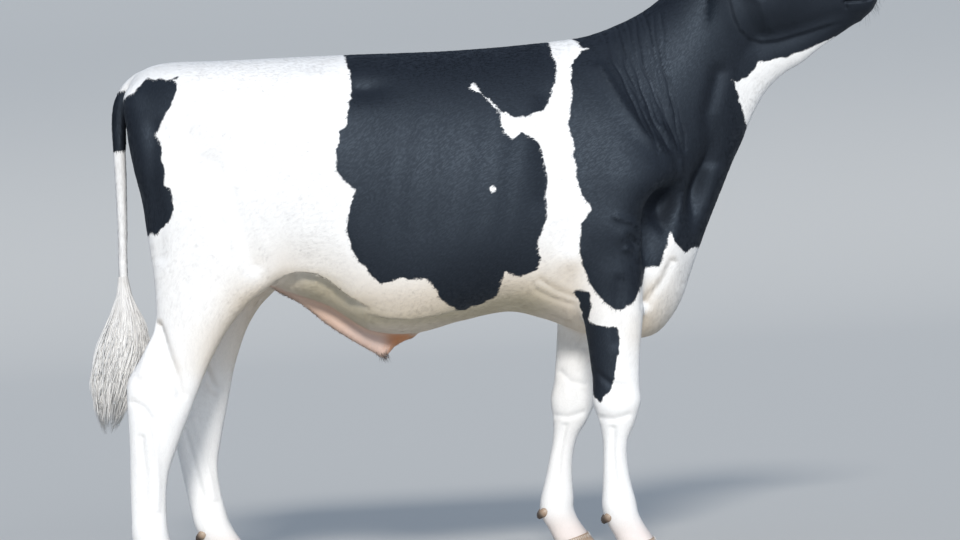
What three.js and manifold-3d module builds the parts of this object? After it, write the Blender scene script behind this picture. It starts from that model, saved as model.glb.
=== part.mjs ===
// A young Holstein-Friesian bull, standing, life size. Millimetres: +X towards the head, +Y towards the
// animal's left side, +Z up. The origin is on the ground, under the middle of the animal.
import * as THREE from "three";
import { mergeVertices } from "three/addons/utils/BufferGeometryUtils.js";
import Module from "manifold-3d";

const wasm = await Module();
wasm.setup();

// ---------------------------------------------------------------- driving dimensions
const gap = 0.3; // clearance between two pieces that meet
const middleX = 21.4; // brings the middle of the whole length over the origin
const left = 1; // the side of an animal's part: +Y
const right = -1;

// Each leg is drawn once, as the right one stands. The left one swings about a height, down to its fetlock.
const foreStance = { midline: 150, pivotZ: 990, swing: -0.193, fetlockZ: 130 };
const hindStance = { midline: 158, pivotZ: 850, swing: 0.2, fetlockZ: 130 };

const eyeball = { at: [776, 89, 1584], radius: 20.5, rings: 7 };

// Every hoof is two claws, one each side of its leg's own line, on a flat sole.
const claw = {
  out: 28.5, // from the leg's line to the middle of the claw
  halfWidth: 26,
};
const foreSole = { toe: 411, heel: 284, coronet: [[357, 71], [266, 46]] };
const hindSole = { toe: -826, heel: -947, coronet: [[-880, 71], [-965, 46]] };
const dewclaw = { out: 27, halfWidth: 13, length: 34 };

const ear = {
  base: [650, 78, 1620],
  tip: [588, 262, 1518],
  halfChord: 54, // at the ear's widest
  thick: 12,
  cup: 20, // how far its middle lies behind its edges
  upper: [0.45, -0.45, 0.77], // the way its upper edge looks
};

const tailPath = [
  // x, z, radius fore and aft, radius across
  [-915, 1385, 20, 24],
  [-955, 1374, 23, 26],
  [-990, 1342, 24, 26],
  [-1010, 1292, 21.5, 23],
  [-1017, 1200, 18.5, 19.5],
  [-1019, 1090, 16, 17],
  [-1022, 980, 14, 15],
  [-1026, 890, 12.5, 13.5],
  [-1028, 824, 12.5, 13.5],
];
const switchPath = [
  [-1028, 835, 12, 13],
  [-1028, 815, 16, 17],
  [-1028, 770, 29, 26],
  [-1030, 715, 50, 37],
  [-1039, 655, 66, 45],
  [-1058, 590, 65, 45],
  [-1075, 525, 51, 38],
  [-1084, 470, 33, 27],
  [-1092, 424, 13, 12],
];

// ---------------------------------------------------------------- ribs
// A rib is one closed section of a body. In the side view it stands on the line from `a` to `b` ([x, z]
// each); `half` is half its width across, reached at the share `widest` of the way from a to b; `na` and
// `nb` shape its two ends (2 is an ellipse, more is boxy, less is a wedge), and `y` moves it sideways.
const rib = (a, b, half, widest = 0.5, na = 2, nb = 2, y = 0) => [...a, ...b, half, widest, na, nb, y];

// Rump, loin, barrel, chest and neck: from the top line to the underline.
const bodyRibs = [
  rib([-984, 1352], [-972, 1215], 62, 0.45),
  rib([-972, 1380], [-950, 1150], 112, 0.38, 2.3),
  rib([-928, 1406], [-915, 1060], 152, 0.36, 2.5),
  rib([-850, 1416], [-840, 940], 200, 0.38, 2.6, 2),
  rib([-745, 1417], [-735, 850], 226, 0.4, 2.6, 2),
  rib([-620, 1416], [-610, 787], 238, 0.42, 2.6, 2.3),
  rib([-490, 1415], [-480, 736], 250, 0.48, 2.5, 2.5),
  rib([-370, 1414], [-368, 664], 266, 0.57, 2.3, 2.7),
  rib([-250, 1411], [-250, 650], 282, 0.59, 2.2, 2.8),
  rib([-120, 1409], [-120, 676], 288, 0.59, 2.1, 2.8),
  rib([10, 1411], [10, 692], 277, 0.59, 2, 2.7),
  rib([110, 1415], [110, 664], 255, 0.57, 1.9, 2.5),
  rib([195, 1420], [210, 622], 230, 0.55, 1.8, 2.2),
  rib([250, 1425], [310, 601], 208, 0.54, 1.75, 2.1),
  rib([285, 1433], [400, 611], 190, 0.52, 1.75, 2),
  rib([318, 1443], [468, 684], 170, 0.5, 1.8, 1.9),
  rib([352, 1455], [515, 792], 152, 0.47, 1.85, 1.8),
  rib([388, 1470], [556, 884], 138, 0.45, 1.9, 1.75),
  rib([425, 1489], [596, 968], 128, 0.43, 1.95, 1.7),
  rib([465, 1517], [637, 1055], 120, 0.42, 2, 1.7),
  rib([505, 1556], [670, 1122], 113, 0.4, 2.1, 1.7),
  rib([546, 1607], [688, 1190], 106, 0.39, 2.2, 1.7),
  rib([586, 1655], [704, 1250], 98, 0.38, 2.2, 1.8),
  rib([620, 1672], [722, 1320], 84, 0.4, 2.2, 2),
  rib([650, 1640], [735, 1380], 50, 0.45),
];

// Head, from the poll and the angle of the jaw to the nose and the chin.
const headRibs = [
  rib([610, 1655], [636, 1450], 60, 0.38, 2.2),
  rib([624, 1699], [656, 1406], 89, 0.34, 2.4, 2.2),
  rib([648, 1713], [690, 1378], 101, 0.32, 2.5, 2.3),
  rib([690, 1698], [730, 1375], 107, 0.31, 2.8, 2.3),
  rib([735, 1681], [772, 1384], 110, 0.31, 3, 2.3),
  rib([776, 1667], [808, 1393], 108, 0.32, 2.9, 2.3),
  rib([820, 1650], [848, 1403], 98, 0.35, 2.7, 2.2),
  rib([865, 1634], [886, 1412], 86, 0.39, 2.5, 2.2),
  rib([910, 1619], [924, 1420], 76, 0.43, 2.4, 2.1),
  rib([955, 1605], [961, 1424], 71, 0.46, 2.4, 2.1),
  rib([1000, 1593], [1000, 1426], 74, 0.45, 2.6, 2.3),
  rib([1030, 1586], [1016, 1432], 79, 0.43, 2.8, 2.5),
  rib([1054, 1577], [1030, 1446], 80, 0.42, 2.9, 2.6),
  rib([1072, 1563], [1045, 1466], 74, 0.42, 2.8, 2.6),
  rib([1083, 1545], [1060, 1486], 60, 0.46, 2.6, 2.4),
  rib([1087, 1528], [1072, 1502], 38, 0.5),
];

// The loose skin of the throat, below the jaw.
const throatRibs = [
  rib([606, 1290], [641, 1098], 34, 0.4, 2, 2),
  rib([640, 1350], [690, 1172], 60, 0.35, 2, 1.9),
  rib([680, 1400], [738, 1246], 60, 0.35, 2, 1.9),
  rib([725, 1425], [788, 1290], 52, 0.35, 2, 1.9),
  rib([775, 1435], [838, 1316], 46, 0.35, 2, 1.9),
  rib([825, 1440], [882, 1348], 42, 0.35, 2, 1.9),
  rib([875, 1446], [930, 1379], 38, 0.4, 2, 1.9),
  rib([925, 1455], [972, 1405], 34, 0.4, 2, 1.9),
  rib([975, 1472], [1002, 1424], 24, 0.5),
];

// Legs: from the front edge to the back edge. Below the coronet the claws take over.
const foreRibs = [
  rib([326, 1385], [230, 1388], 14, 0.5, 2, 2, -102),
  rib([368, 1312], [200, 1322], 42, 0.5, 2.2, 2.2, -66),
  rib([415, 1210], [168, 1232], 74, 0.5, 2.3, 2.3, -40),
  rib([454, 1110], [148, 1122], 92, 0.5, 2.3, 2.3, -24),
  rib([468, 1025], [140, 1020], 96, 0.48, 2.3, 2.3, -14),
  rib([432, 950], [142, 930], 91, 0.48, 2.2, 2.2, -9),
  rib([396, 885], [154, 850], 84, 0.5, 2.2, 2.2, -6),
  rib([380, 815], [170, 792], 77, 0.5, 2.2, 2.1, -6),
  rib([370, 740], [186, 735], 70, 0.5, 2.2, 2.1, -5),
  rib([360, 660], [200, 668], 63, 0.5, 2.2, 2, -4),
  rib([351, 590], [208, 596], 56, 0.5, 2.1, 2, -2),
  rib([345, 522], [214, 524], 50, 0.5, 2.1, 2),
  rib([341, 468], [217, 470], 49, 0.5, 2.4, 2.2),
  rib([338, 428], [218, 430], 49, 0.5, 2.5, 2.2),
  rib([325, 383], [228, 383], 42, 0.5, 2.4, 2),
  rib([303, 335], [233, 335], 33, 0.5, 2.2, 2),
  rib([299, 280], [230, 278], 30, 0.5, 2.1, 2),
  rib([305, 225], [226, 222], 32, 0.5, 2.2, 2.1),
  rib([315, 175], [221, 168], 43, 0.5, 2.4, 2.3),
  rib([320, 142], [228, 128], 44, 0.5, 2.4, 2.4),
  rib([334, 110], [248, 88], 43, 0.5, 2.4, 2.3),
  rib([349, 86], [259, 62], 50, 0.5, 2.5, 2.4),
  rib([357, 71], [266, 46], 54, 0.5, 2.8, 2.5),
];
const hindRibs = [
  rib([-640, 1310], [-915, 1352], 44, 0.5, 2.1, 2.1, -66),
  rib([-575, 1225], [-980, 1322], 72, 0.55, 2.2, 2.3, -52),
  rib([-540, 1130], [-984, 1238], 97, 0.55, 2.2, 2.4, -42),
  rib([-524, 1030], [-972, 1142], 110, 0.52, 2.1, 2.4, -36),
  rib([-524, 940], [-953, 1040], 110, 0.5, 2.1, 2.3, -34),
  rib([-550, 868], [-945, 945], 98, 0.48, 2, 2.2, -28),
  rib([-612, 808], [-936, 860], 82, 0.46, 2, 2.1, -18),
  rib([-690, 748], [-932, 788], 67, 0.46, 2.1, 2, -10),
  rib([-742, 690], [-936, 725], 57, 0.46, 2.2, 2, -6),
  rib([-780, 630], [-962, 660], 49, 0.45, 2.2, 1.9, -2),
  rib([-812, 570], [-1004, 588], 44, 0.42, 2.2, 1.9),
  rib([-840, 508], [-1019, 530], 43, 0.42, 2.3, 2),
  rib([-868, 446], [-1021, 455], 43, 0.46, 2.3, 2.1),
  rib([-893, 388], [-1022, 390], 40, 0.5, 2.3, 2.1),
  rib([-919, 322], [-1025, 322], 33, 0.5, 2.2, 2),
  rib([-929, 260], [-1027, 258], 30, 0.5, 2.1, 2),
  rib([-931, 208], [-1028, 204], 33, 0.5, 2.2, 2.1),
  rib([-929, 168], [-1029, 158], 42, 0.5, 2.4, 2.3),
  rib([-922, 138], [-1020, 122], 43, 0.5, 2.4, 2.4),
  rib([-905, 108], [-1000, 86], 42, 0.5, 2.4, 2.3),
  rib([-888, 85], [-978, 60], 48, 0.5, 2.5, 2.4),
  rib([-880, 71], [-965, 46], 52, 0.5, 2.8, 2.5),
];

// Underneath: the sheath runs forward to its opening, the scrotum hangs between the thighs.
const sheathRibs = [
  rib([-596, 850], [-606, 784], 10, 0.6),
  rib([-535, 830], [-550, 743], 17, 0.7),
  rib([-460, 780], [-480, 682], 21, 0.75),
  rib([-390, 730], [-415, 636], 24, 0.75),
  rib([-338, 700], [-362, 602], 25, 0.75),
  rib([-308, 690], [-336, 588], 22, 0.75),
  rib([-278, 690], [-300, 620], 16, 0.7),
  rib([-240, 690], [-250, 640], 10, 0.6),
];
const scrotumRibs = [
  rib([-800, 850], [-880, 855], 30, 0.5),
  rib([-806, 800], [-884, 802], 31, 0.5),
  rib([-800, 755], [-894, 756], 40, 0.5),
  rib([-794, 705], [-902, 705], 52, 0.5, 2.1, 2.1),
  rib([-796, 655], [-904, 655], 55, 0.5, 2.2, 2.2),
  rib([-810, 615], [-894, 615], 44, 0.5, 2.1, 2.1),
  rib([-834, 594], [-874, 594], 20, 0.5),
];

// Where the body is parted, as lines in the side view.
const cuts = {
  neck: [[316, 1455], [572, 784]],
  head: [[598, 1730], [655, 1400], [735, 1180]],
  shoulder: [[100, 770], [520, 700]],
  knee: [[100, 405], [520, 405]],
  hip: [[-1060, 1060], [-480, 860]],
  hock: [[-1060, 520], [-700, 520]],
  tailSwitch: [[-1100, 826], [-900, 826]],
};

// Swellings and hollows: where, how far they reach along x, y and z, and how high.
const bump = ([x, y, z], [rx, ry, rz], lift) => {
  return (p) => {
    const d = ((p.x - x) / rx) ** 2 + ((Math.abs(p.y) - y) / ry) ** 2 + ((p.z - z) / rz) ** 2;
    return d > 6 ? 0 : lift * Math.exp(-d);
  };
};
const bodyBumps = [
  bump([-478, 240, 1352], [62, 70, 42], 20), // hook bone
  bump([-962, 112, 1330], [42, 60, 42], 12), // pin bone
  bump([-770, 215, 1215], [80, 70, 70], 10), // hip joint
  bump([-345, 225, 1312], [75, 80, 36], -14), // hollow of the flank
  bump([-885, 30, 1412], [90, 40, 50], 6), // tail head
];
const headBumps = [
  bump([640, 50, 1706], [40, 60, 36], 8), // poll
  bump([712, 98, 1450], [62, 50, 62], 9), // cheek muscle
  bump([768, 100, 1622], [44, 40, 24], 10), // brow
  bump([780, 108, 1584], [32, 40, 24], -9), // eye socket
  bump([900, 62, 1490], [80, 50, 40], -4), // hollow of the cheek
  bump([1048, 55, 1545], [26, 34, 26], 5), // rim of the nostril
];

// ---------------------------------------------------------------- lofting
// Ribs between the given ones, a step apart: a cubic through them, spaced by how far apart their middles are.
function between(ribs, step) {
  const middle = (r) => [(r[0] + r[2]) / 2, (r[1] + r[3]) / 2, r[8]];
  const knots = [0];
  for (let i = 1; i < ribs.length; i++) {
    const [p, q] = [middle(ribs[i - 1]), middle(ribs[i])];
    knots.push(knots[i - 1] + Math.hypot(q[0] - p[0], q[1] - p[1], q[2] - p[2]));
  }
  const slope = (i, k) => {
    const lo = Math.max(0, i - 1);
    const hi = Math.min(ribs.length - 1, i + 1);
    return (ribs[hi][k] - ribs[lo][k]) / (knots[hi] - knots[lo]);
  };
  const made = [];
  for (let i = 0; i < ribs.length - 1; i++) {
    const span = knots[i + 1] - knots[i];
    const pieces = Math.max(1, Math.round(span / step));
    for (let j = 0; j < pieces; j++) {
      const t = j / pieces;
      const near = 2 * t ** 3 - 3 * t ** 2 + 1;
      const leave = span * (t ** 3 - 2 * t ** 2 + t);
      const arrive = span * (t ** 3 - t ** 2);
      const mixed = (value, k) =>
        near * value + leave * slope(i, k) + (1 - near) * ribs[i + 1][k] + arrive * slope(i + 1, k);
      made.push(ribs[i].map(mixed));
    }
  }
  made.push(ribs[ribs.length - 1]);
  return made;
}

// The points round one rib.
function ring([ax, az, bx, bz, half, widest, na, nb, y], around) {
  const points = [];
  for (let i = 0; i < around; i++) {
    const angle = (2 * Math.PI * i) / around;
    const [c, s] = [Math.cos(angle), Math.sin(angle)];
    const n = c >= 0 ? na : nb;
    const reach = c >= 0 ? widest : 1 - widest;
    const along = widest - Math.sign(c) * reach * Math.abs(c) ** (2 / n);
    const across = Math.sign(s) * half * Math.abs(s) ** (2 / n);
    points.push(new THREE.Vector3(ax + (bx - ax) * along, y + across, az + (bz - az) * along));
  }
  return points;
}

// A closed skin over rings of points, with a fan at each end, lifted along its own normals by the bumps
// and by grow.
function skinOver(rings, bumps = [], grow = 0) {
  const around = rings[0].length;
  const centre = (points) => points.reduce((sum, p) => sum.add(p), new THREE.Vector3()).divideScalar(around);
  const last = (rings.length - 1) * around;
  const position = [];
  const ends = [centre(rings[0]), centre(rings[rings.length - 1])];
  for (const p of [...rings.flat(), ...ends]) position.push(p.x, p.y, p.z);
  const first = rings.length * around;
  const index = [];
  for (let j = 0; j < around; j++) {
    const next = (j + 1) % around;
    for (let i = 0; i < last; i += around) index.push(i + j, i + next, i + around + j);
    for (let i = 0; i < last; i += around) index.push(i + next, i + around + next, i + around + j);
    index.push(first, next, j, first + 1, last + j, last + next);
  }
  const geometry = new THREE.BufferGeometry();
  geometry.setAttribute("position", new THREE.Float32BufferAttribute(position, 3));
  geometry.setIndex(index);
  faceOut(geometry);
  geometry.computeVertexNormals();
  const [at, normal] = [geometry.attributes.position, geometry.attributes.normal];
  const p = new THREE.Vector3();
  for (let i = 0; i < at.count; i++) {
    p.fromBufferAttribute(at, i);
    const lift = bumps.reduce((sum, bumpAt) => sum + bumpAt(p), grow);
    at.setXYZ(i, p.x + lift * normal.getX(i), p.y + lift * normal.getY(i), p.z + lift * normal.getZ(i));
  }
  return geometry;
}

// Turns the faces of a skin round if they look inwards.
function faceOut(geometry) {
  const at = geometry.attributes.position;
  const index = geometry.index.array;
  const corner = (i) => new THREE.Vector3().fromBufferAttribute(at, index[i]);
  let volume = 0;
  for (let i = 0; i < index.length; i += 3) volume += corner(i).dot(corner(i + 1).cross(corner(i + 2)));
  if (volume > 0) return;
  for (let i = 0; i < index.length; i += 3) {
    [index[i + 1], index[i + 2]] = [index[i + 2], index[i + 1]];
  }
}

function loft(ribs, step, around, bumps, grow) {
  const rings = between(ribs, step).map((r) => ring(r, around));
  return solid(skinOver(rings, bumps, grow));
}

// The ribs of a leg where it stands.
function standing(ribs, stance, side) {
  const swing = side === left ? stance.swing : 0;
  const shift = (z) => swing * Math.max(0, stance.pivotZ - Math.max(z, stance.fetlockZ));
  return ribs.map(([ax, az, bx, bz, half, widest, na, nb, y]) =>
    rib([ax + shift(az), az], [bx + shift(bz), bz], half, widest, na, nb, side * (stance.midline + y)),
  );
}

// Ribs square to a path in the side view.
function alongPath(path) {
  return path.map(([x, z, fore, across], i) => {
    const [p, q] = [path[Math.max(0, i - 1)], path[Math.min(path.length - 1, i + 1)]];
    const run = Math.hypot(q[0] - p[0], q[1] - p[1]);
    const [nx, nz] = [(fore * (p[1] - q[1])) / run, (fore * (q[0] - p[0])) / run];
    return rib([x + nx, z + nz], [x - nx, z - nz], across);
  });
}

// ---------------------------------------------------------------- solids
function solid(geometry) {
  const bare = geometry.clone();
  bare.deleteAttribute("normal");
  bare.deleteAttribute("uv");
  const merged = mergeVertices(bare, 1e-4);
  const mesh = new wasm.Mesh({
    numProp: 3,
    vertProperties: new Float32Array(merged.attributes.position.array),
    triVerts: new Uint32Array(merged.index.array),
  });
  return new wasm.Manifold(mesh);
}

function geometryOf(made) {
  const mesh = made.getMesh();
  const geometry = new THREE.BufferGeometry();
  geometry.setAttribute("position", new THREE.BufferAttribute(new Float32Array(mesh.vertProperties), 3));
  geometry.setIndex(new THREE.BufferAttribute(new Uint32Array(mesh.triVerts), 1));
  geometry.translate(middleX, 0, 0);
  geometry.computeVertexNormals();
  return geometry;
}

// Everything on the left of the way from p to q in the side view, seen from the right side of the animal,
// less `back` along the line.
function leftOf(p, q, back = gap / 2) {
  const size = 5000;
  const box = new THREE.BoxGeometry(size, size, size);
  box.translate(0, 0, size / 2 + back);
  box.rotateY(-Math.atan2(q[1] - p[1], q[0] - p[0]));
  box.translate(p[0], 0, p[1]);
  return solid(box);
}
const above = (line, back) => leftOf(line[0], line[1], back);
const below = (line, back) => leftOf(line[1], line[0], back);

function eyeSolid(side, radius) {
  const [x, y, z] = eyeball.at;
  const geometry = new THREE.SphereGeometry(radius, 2 * eyeball.rings, eyeball.rings);
  geometry.translate(x, side * y, z);
  return solid(geometry);
}

// ---------------------------------------------------------------- ears and hooves
// A cupped leaf with its hollow side to the front: every section is a crescent.
function earSolid(side, stations, across) {
  const [base, tip] = [ear.base, ear.tip].map(([x, y, z]) => new THREE.Vector3(x, side * y, z));
  const along = tip.clone().sub(base);
  const direction = along.clone().normalize();
  const upper = new THREE.Vector3(ear.upper[0], side * ear.upper[1], ear.upper[2]);
  upper.addScaledVector(direction, -upper.dot(direction)).normalize();
  const front = new THREE.Vector3().crossVectors(direction, upper).multiplyScalar(side);
  const rings = [];
  for (let i = 0; i <= stations; i++) {
    const t = i / stations;
    const chord = ear.halfChord * Math.min(1, 0.45 + 2.2 * t) * Math.sqrt(Math.max(0, 1 - t ** 3)) + 3;
    const cup = ear.cup * Math.sin(Math.PI * Math.min(1, 0.25 + 0.75 * t)) ** 0.6;
    const half = (ear.thick / 2) * (1 + 1.6 * (1 - t) ** 4);
    const points = [];
    for (let j = 0; j < 2 * across; j++) {
      const back = j < across;
      const u = back ? -1 + (2 * j) / across : 1 - (2 * (j - across)) / across;
      const depth = -cup * (1 - u * u) + (back ? -1 : 1) * half * Math.sqrt(1 - u * u);
      const point = base.clone().addScaledVector(along, t);
      points.push(point.addScaledVector(upper, u * chord).addScaledVector(front, depth));
    }
    rings.push(points);
  }
  return solid(skinOver(rings));
}

// One claw, from its flat sole up to just under the coronet, and the dewclaw above and behind it.
function clawSolid(sole, stance, side, out) {
  const shift = side === left ? stance.swing * (stance.pivotZ - stance.fetlockZ) : 0;
  const y = side * (stance.midline + out * claw.out);
  const [[frontX, frontZ], [backX, backZ]] = sole.coronet;
  const rows = [
    [0, 1, 1.8, 2.4],
    [0.06, 1.02, 1.8, 2.4],
    [0.5, 0.99, 1.9, 2.4],
    [1, 0.93, 2.2, 2.4],
  ].map(([t, width, na, nb]) =>
    rib(
      [sole.toe + (frontX - sole.toe) * t + shift, (frontZ - 2 * gap) * t],
      [sole.heel + (backX - sole.heel) * t + shift, (backZ - 2 * gap) * t],
      claw.halfWidth * width,
      0.56,
      na,
      nb,
      y,
    ),
  );
  return solid(skinOver(rows.map((r) => ring(r, 12))));
}
function dewclawSolid(ribs, stance, side, out) {
  const shift = side === left ? stance.swing * (stance.pivotZ - stance.fetlockZ) : 0;
  const pastern = ribs[ribs.length - 4]; // the rib just below the fetlock
  const [x, z] = [pastern[2] + 22 + shift, pastern[3] + 14];
  const path = [
    [x, z, 15, dewclaw.halfWidth],
    [x - dewclaw.length * 0.5, z - 5, 14, dewclaw.halfWidth],
    [x - dewclaw.length, z - 17, 6, dewclaw.halfWidth * 0.5],
  ];
  const y = side * (stance.midline + out * dewclaw.out);
  return solid(skinOver(alongPath(path).map((r) => ring([...r.slice(0, 8), y], 6))));
}

// ---------------------------------------------------------------- assembly
const finish = (name, color, roughness) => new THREE.MeshStandardMaterial({ name, color, roughness });
const hide = finish("hide", 0xe9e4dc, 0.75);
const darkHide = finish("dark_hide", 0x1b1a1d, 0.6);
const bareSkin = finish("bare_skin", 0xc99a86, 0.65);
const horn = finish("hoof_horn", 0xb08a62, 0.5);
const eyeWet = finish("eye", 0x14100e, 0.08);
const longHair = finish("tail_hair", 0xe6e2d4, 0.8);

const bull = new THREE.Group();
bull.name = "bull";
function place(name, made, material) {
  const whole = made.decompose().sort((a, b) => b.volume() - a.volume())[0]; // drops crumbs a cut may leave
  const mesh = new THREE.Mesh(geometryOf(whole), material);
  mesh.name = name;
  bull.add(mesh);
}

// How finely the pieces are drawn: the step between ribs, and the points round one.
const bodyMesh = [70, 22];
const headMesh = [46, 20];
const throatMesh = [60, 12];
const legMesh = [45, 12];
const tailMesh = [70, 8];
const switchMesh = [60, 10];
const sheathMesh = [70, 10];
const scrotumMesh = [60, 12];
const earMesh = [7, 5]; // stations along it, and steps across each face

const legs = [];
for (const [sideName, side] of [["left", left], ["right", right]])
  for (const [end, ribs, stance, root, joint, sole] of [
    ["fore", foreRibs, foreStance, cuts.shoulder, cuts.knee, foreSole],
    ["hind", hindRibs, hindStance, cuts.hip, cuts.hock, hindSole],
  ]) {
    const stood = standing(ribs, stance, side);
    const whole = loft(stood, ...legMesh, [], 0);
    const grown = loft(stood, ...legMesh, [], gap);
    legs.push({ end, sideName, side, ribs, stance, root, joint, sole, whole, grown });
  }

// The tail and the eyes are let into the body, the ears, the sheath and the dewclaws stand on it.
const tail = loft(alongPath(tailPath), ...tailMesh, [], 0).intersect(above(cuts.tailSwitch));
const tailGrown = loft(alongPath(tailPath), ...tailMesh, [], gap);
let flesh = loft(bodyRibs, ...bodyMesh, bodyBumps, 0)
  .add(loft(headRibs, ...headMesh, headBumps, 0))
  .add(loft(throatRibs, ...throatMesh, [], 0));
for (const leg of legs) flesh = flesh.add(leg.whole.intersect(above(leg.root, 0)));
let fleshGrown = loft(bodyRibs, ...bodyMesh, bodyBumps, gap)
  .add(loft(headRibs, ...headMesh, headBumps, gap))
  .add(loft(throatRibs, ...throatMesh, [], gap));
for (const leg of legs) fleshGrown = fleshGrown.add(leg.grown);

for (const leg of legs) flesh = flesh.subtract(leg.grown.intersect(below(leg.root, -gap)));
flesh = flesh.subtract(tailGrown);
for (const side of [left, right]) flesh = flesh.subtract(eyeSolid(side, eyeball.radius + gap));

const [pollTop, jawBack, throatFront] = cuts.head;
const beforeNeck = (back) => leftOf(cuts.neck[0], cuts.neck[1], back);
const beforeHead = (back) => leftOf(pollTop, jawBack, back).intersect(leftOf(jawBack, throatFront, back));

place("trunk", flesh.subtract(beforeNeck(-gap / 2)), hide);
place("neck", flesh.intersect(beforeNeck()).subtract(beforeHead(-gap / 2)), darkHide);
place("head", flesh.intersect(beforeHead()), darkHide);
place("tail", tail, darkHide);
const switchWhole = loft(alongPath(switchPath), ...switchMesh, [], 0);
place("tail_switch", switchWhole.intersect(below(cuts.tailSwitch)), longHair);
place("sheath", loft(sheathRibs, ...sheathMesh, [], 0).subtract(fleshGrown), bareSkin);
place("scrotum", loft(scrotumRibs, ...scrotumMesh, [], 0).subtract(fleshGrown), bareSkin);
for (const [sideName, side] of [["left", left], ["right", right]]) {
  place("ear_" + sideName, earSolid(side, ...earMesh).subtract(fleshGrown), darkHide);
  place("eye_" + sideName, eyeSolid(side, eyeball.radius), eyeWet);
}
for (const { end, sideName, side, ribs, stance, root, joint, sole, whole, grown } of legs) {
  const free = whole.intersect(below(root, gap / 2));
  place(`${end}leg_upper_${sideName}`, free.intersect(above(joint)), hide);
  place(`${end}leg_lower_${sideName}`, free.intersect(below(joint)), hide);
  for (const [where, out] of [["outer", 1], ["inner", -1]]) {
    place(`${end}claw_${where}_${sideName}`, clawSolid(sole, stance, side, out), horn);
    place(`${end}_dewclaw_${where}_${sideName}`, dewclawSolid(ribs, stance, side, out).subtract(grown), horn);
  }
}
export default bull;
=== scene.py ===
import math

import bmesh
import bpy
import numpy as np
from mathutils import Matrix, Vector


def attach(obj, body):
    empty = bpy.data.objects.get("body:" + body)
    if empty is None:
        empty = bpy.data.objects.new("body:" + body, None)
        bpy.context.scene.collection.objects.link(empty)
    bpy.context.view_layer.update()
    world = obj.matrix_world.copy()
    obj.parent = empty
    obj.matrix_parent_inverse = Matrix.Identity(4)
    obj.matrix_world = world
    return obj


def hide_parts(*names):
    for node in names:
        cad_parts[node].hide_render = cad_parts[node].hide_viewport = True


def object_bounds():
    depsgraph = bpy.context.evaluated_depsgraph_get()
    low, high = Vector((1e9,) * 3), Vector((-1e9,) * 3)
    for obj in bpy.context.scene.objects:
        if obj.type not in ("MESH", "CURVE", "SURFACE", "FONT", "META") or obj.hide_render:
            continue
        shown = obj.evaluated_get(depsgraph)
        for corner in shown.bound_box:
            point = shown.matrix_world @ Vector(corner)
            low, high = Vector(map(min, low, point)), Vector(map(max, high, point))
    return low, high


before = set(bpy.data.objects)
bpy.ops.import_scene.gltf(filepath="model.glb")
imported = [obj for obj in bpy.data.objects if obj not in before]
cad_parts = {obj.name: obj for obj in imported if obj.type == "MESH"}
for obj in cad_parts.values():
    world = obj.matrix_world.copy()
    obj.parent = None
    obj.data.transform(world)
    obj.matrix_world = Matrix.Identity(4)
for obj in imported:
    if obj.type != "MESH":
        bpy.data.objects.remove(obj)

import openvdb as vdb

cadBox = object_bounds()
dice = np.random.default_rng(11)
print("frame loaded")

# metres; +X towards the head, +Y towards the bull's left side, +Z up
# a leg is drawn once, as the right one stands; the left one swings about a height, down to its fetlock
stance = dict(
    middleX=0.0214,
    fore=dict(midline=0.150, pivot=0.990, swing=-0.193),
    hind=dict(midline=0.158, pivot=0.850, swing=0.200),
    fetlock=0.130,
)
left, right = 1, -1


def smooth(x, lo, hi):
    t = np.clip((x - lo) / (hi - lo), 0, 1)
    return t * t * (3 - 2 * t)


def mixed(a, b, t):
    return a + (b - a) * t


def unit(v):
    return v / np.maximum(np.linalg.norm(v, axis=-1, keepdims=True), 1e-9)


# one closed section: it stands on the line a-b of the side view, `half` across at the share `widest`
# of the way; na and nb shape its two ends (2 is an ellipse, more is boxy, less is a wedge)
def rib(a, b, half, widest=0.5, na=2, nb=2, y=0):
    return (*a, *b, half, widest, na, nb, y)


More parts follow.
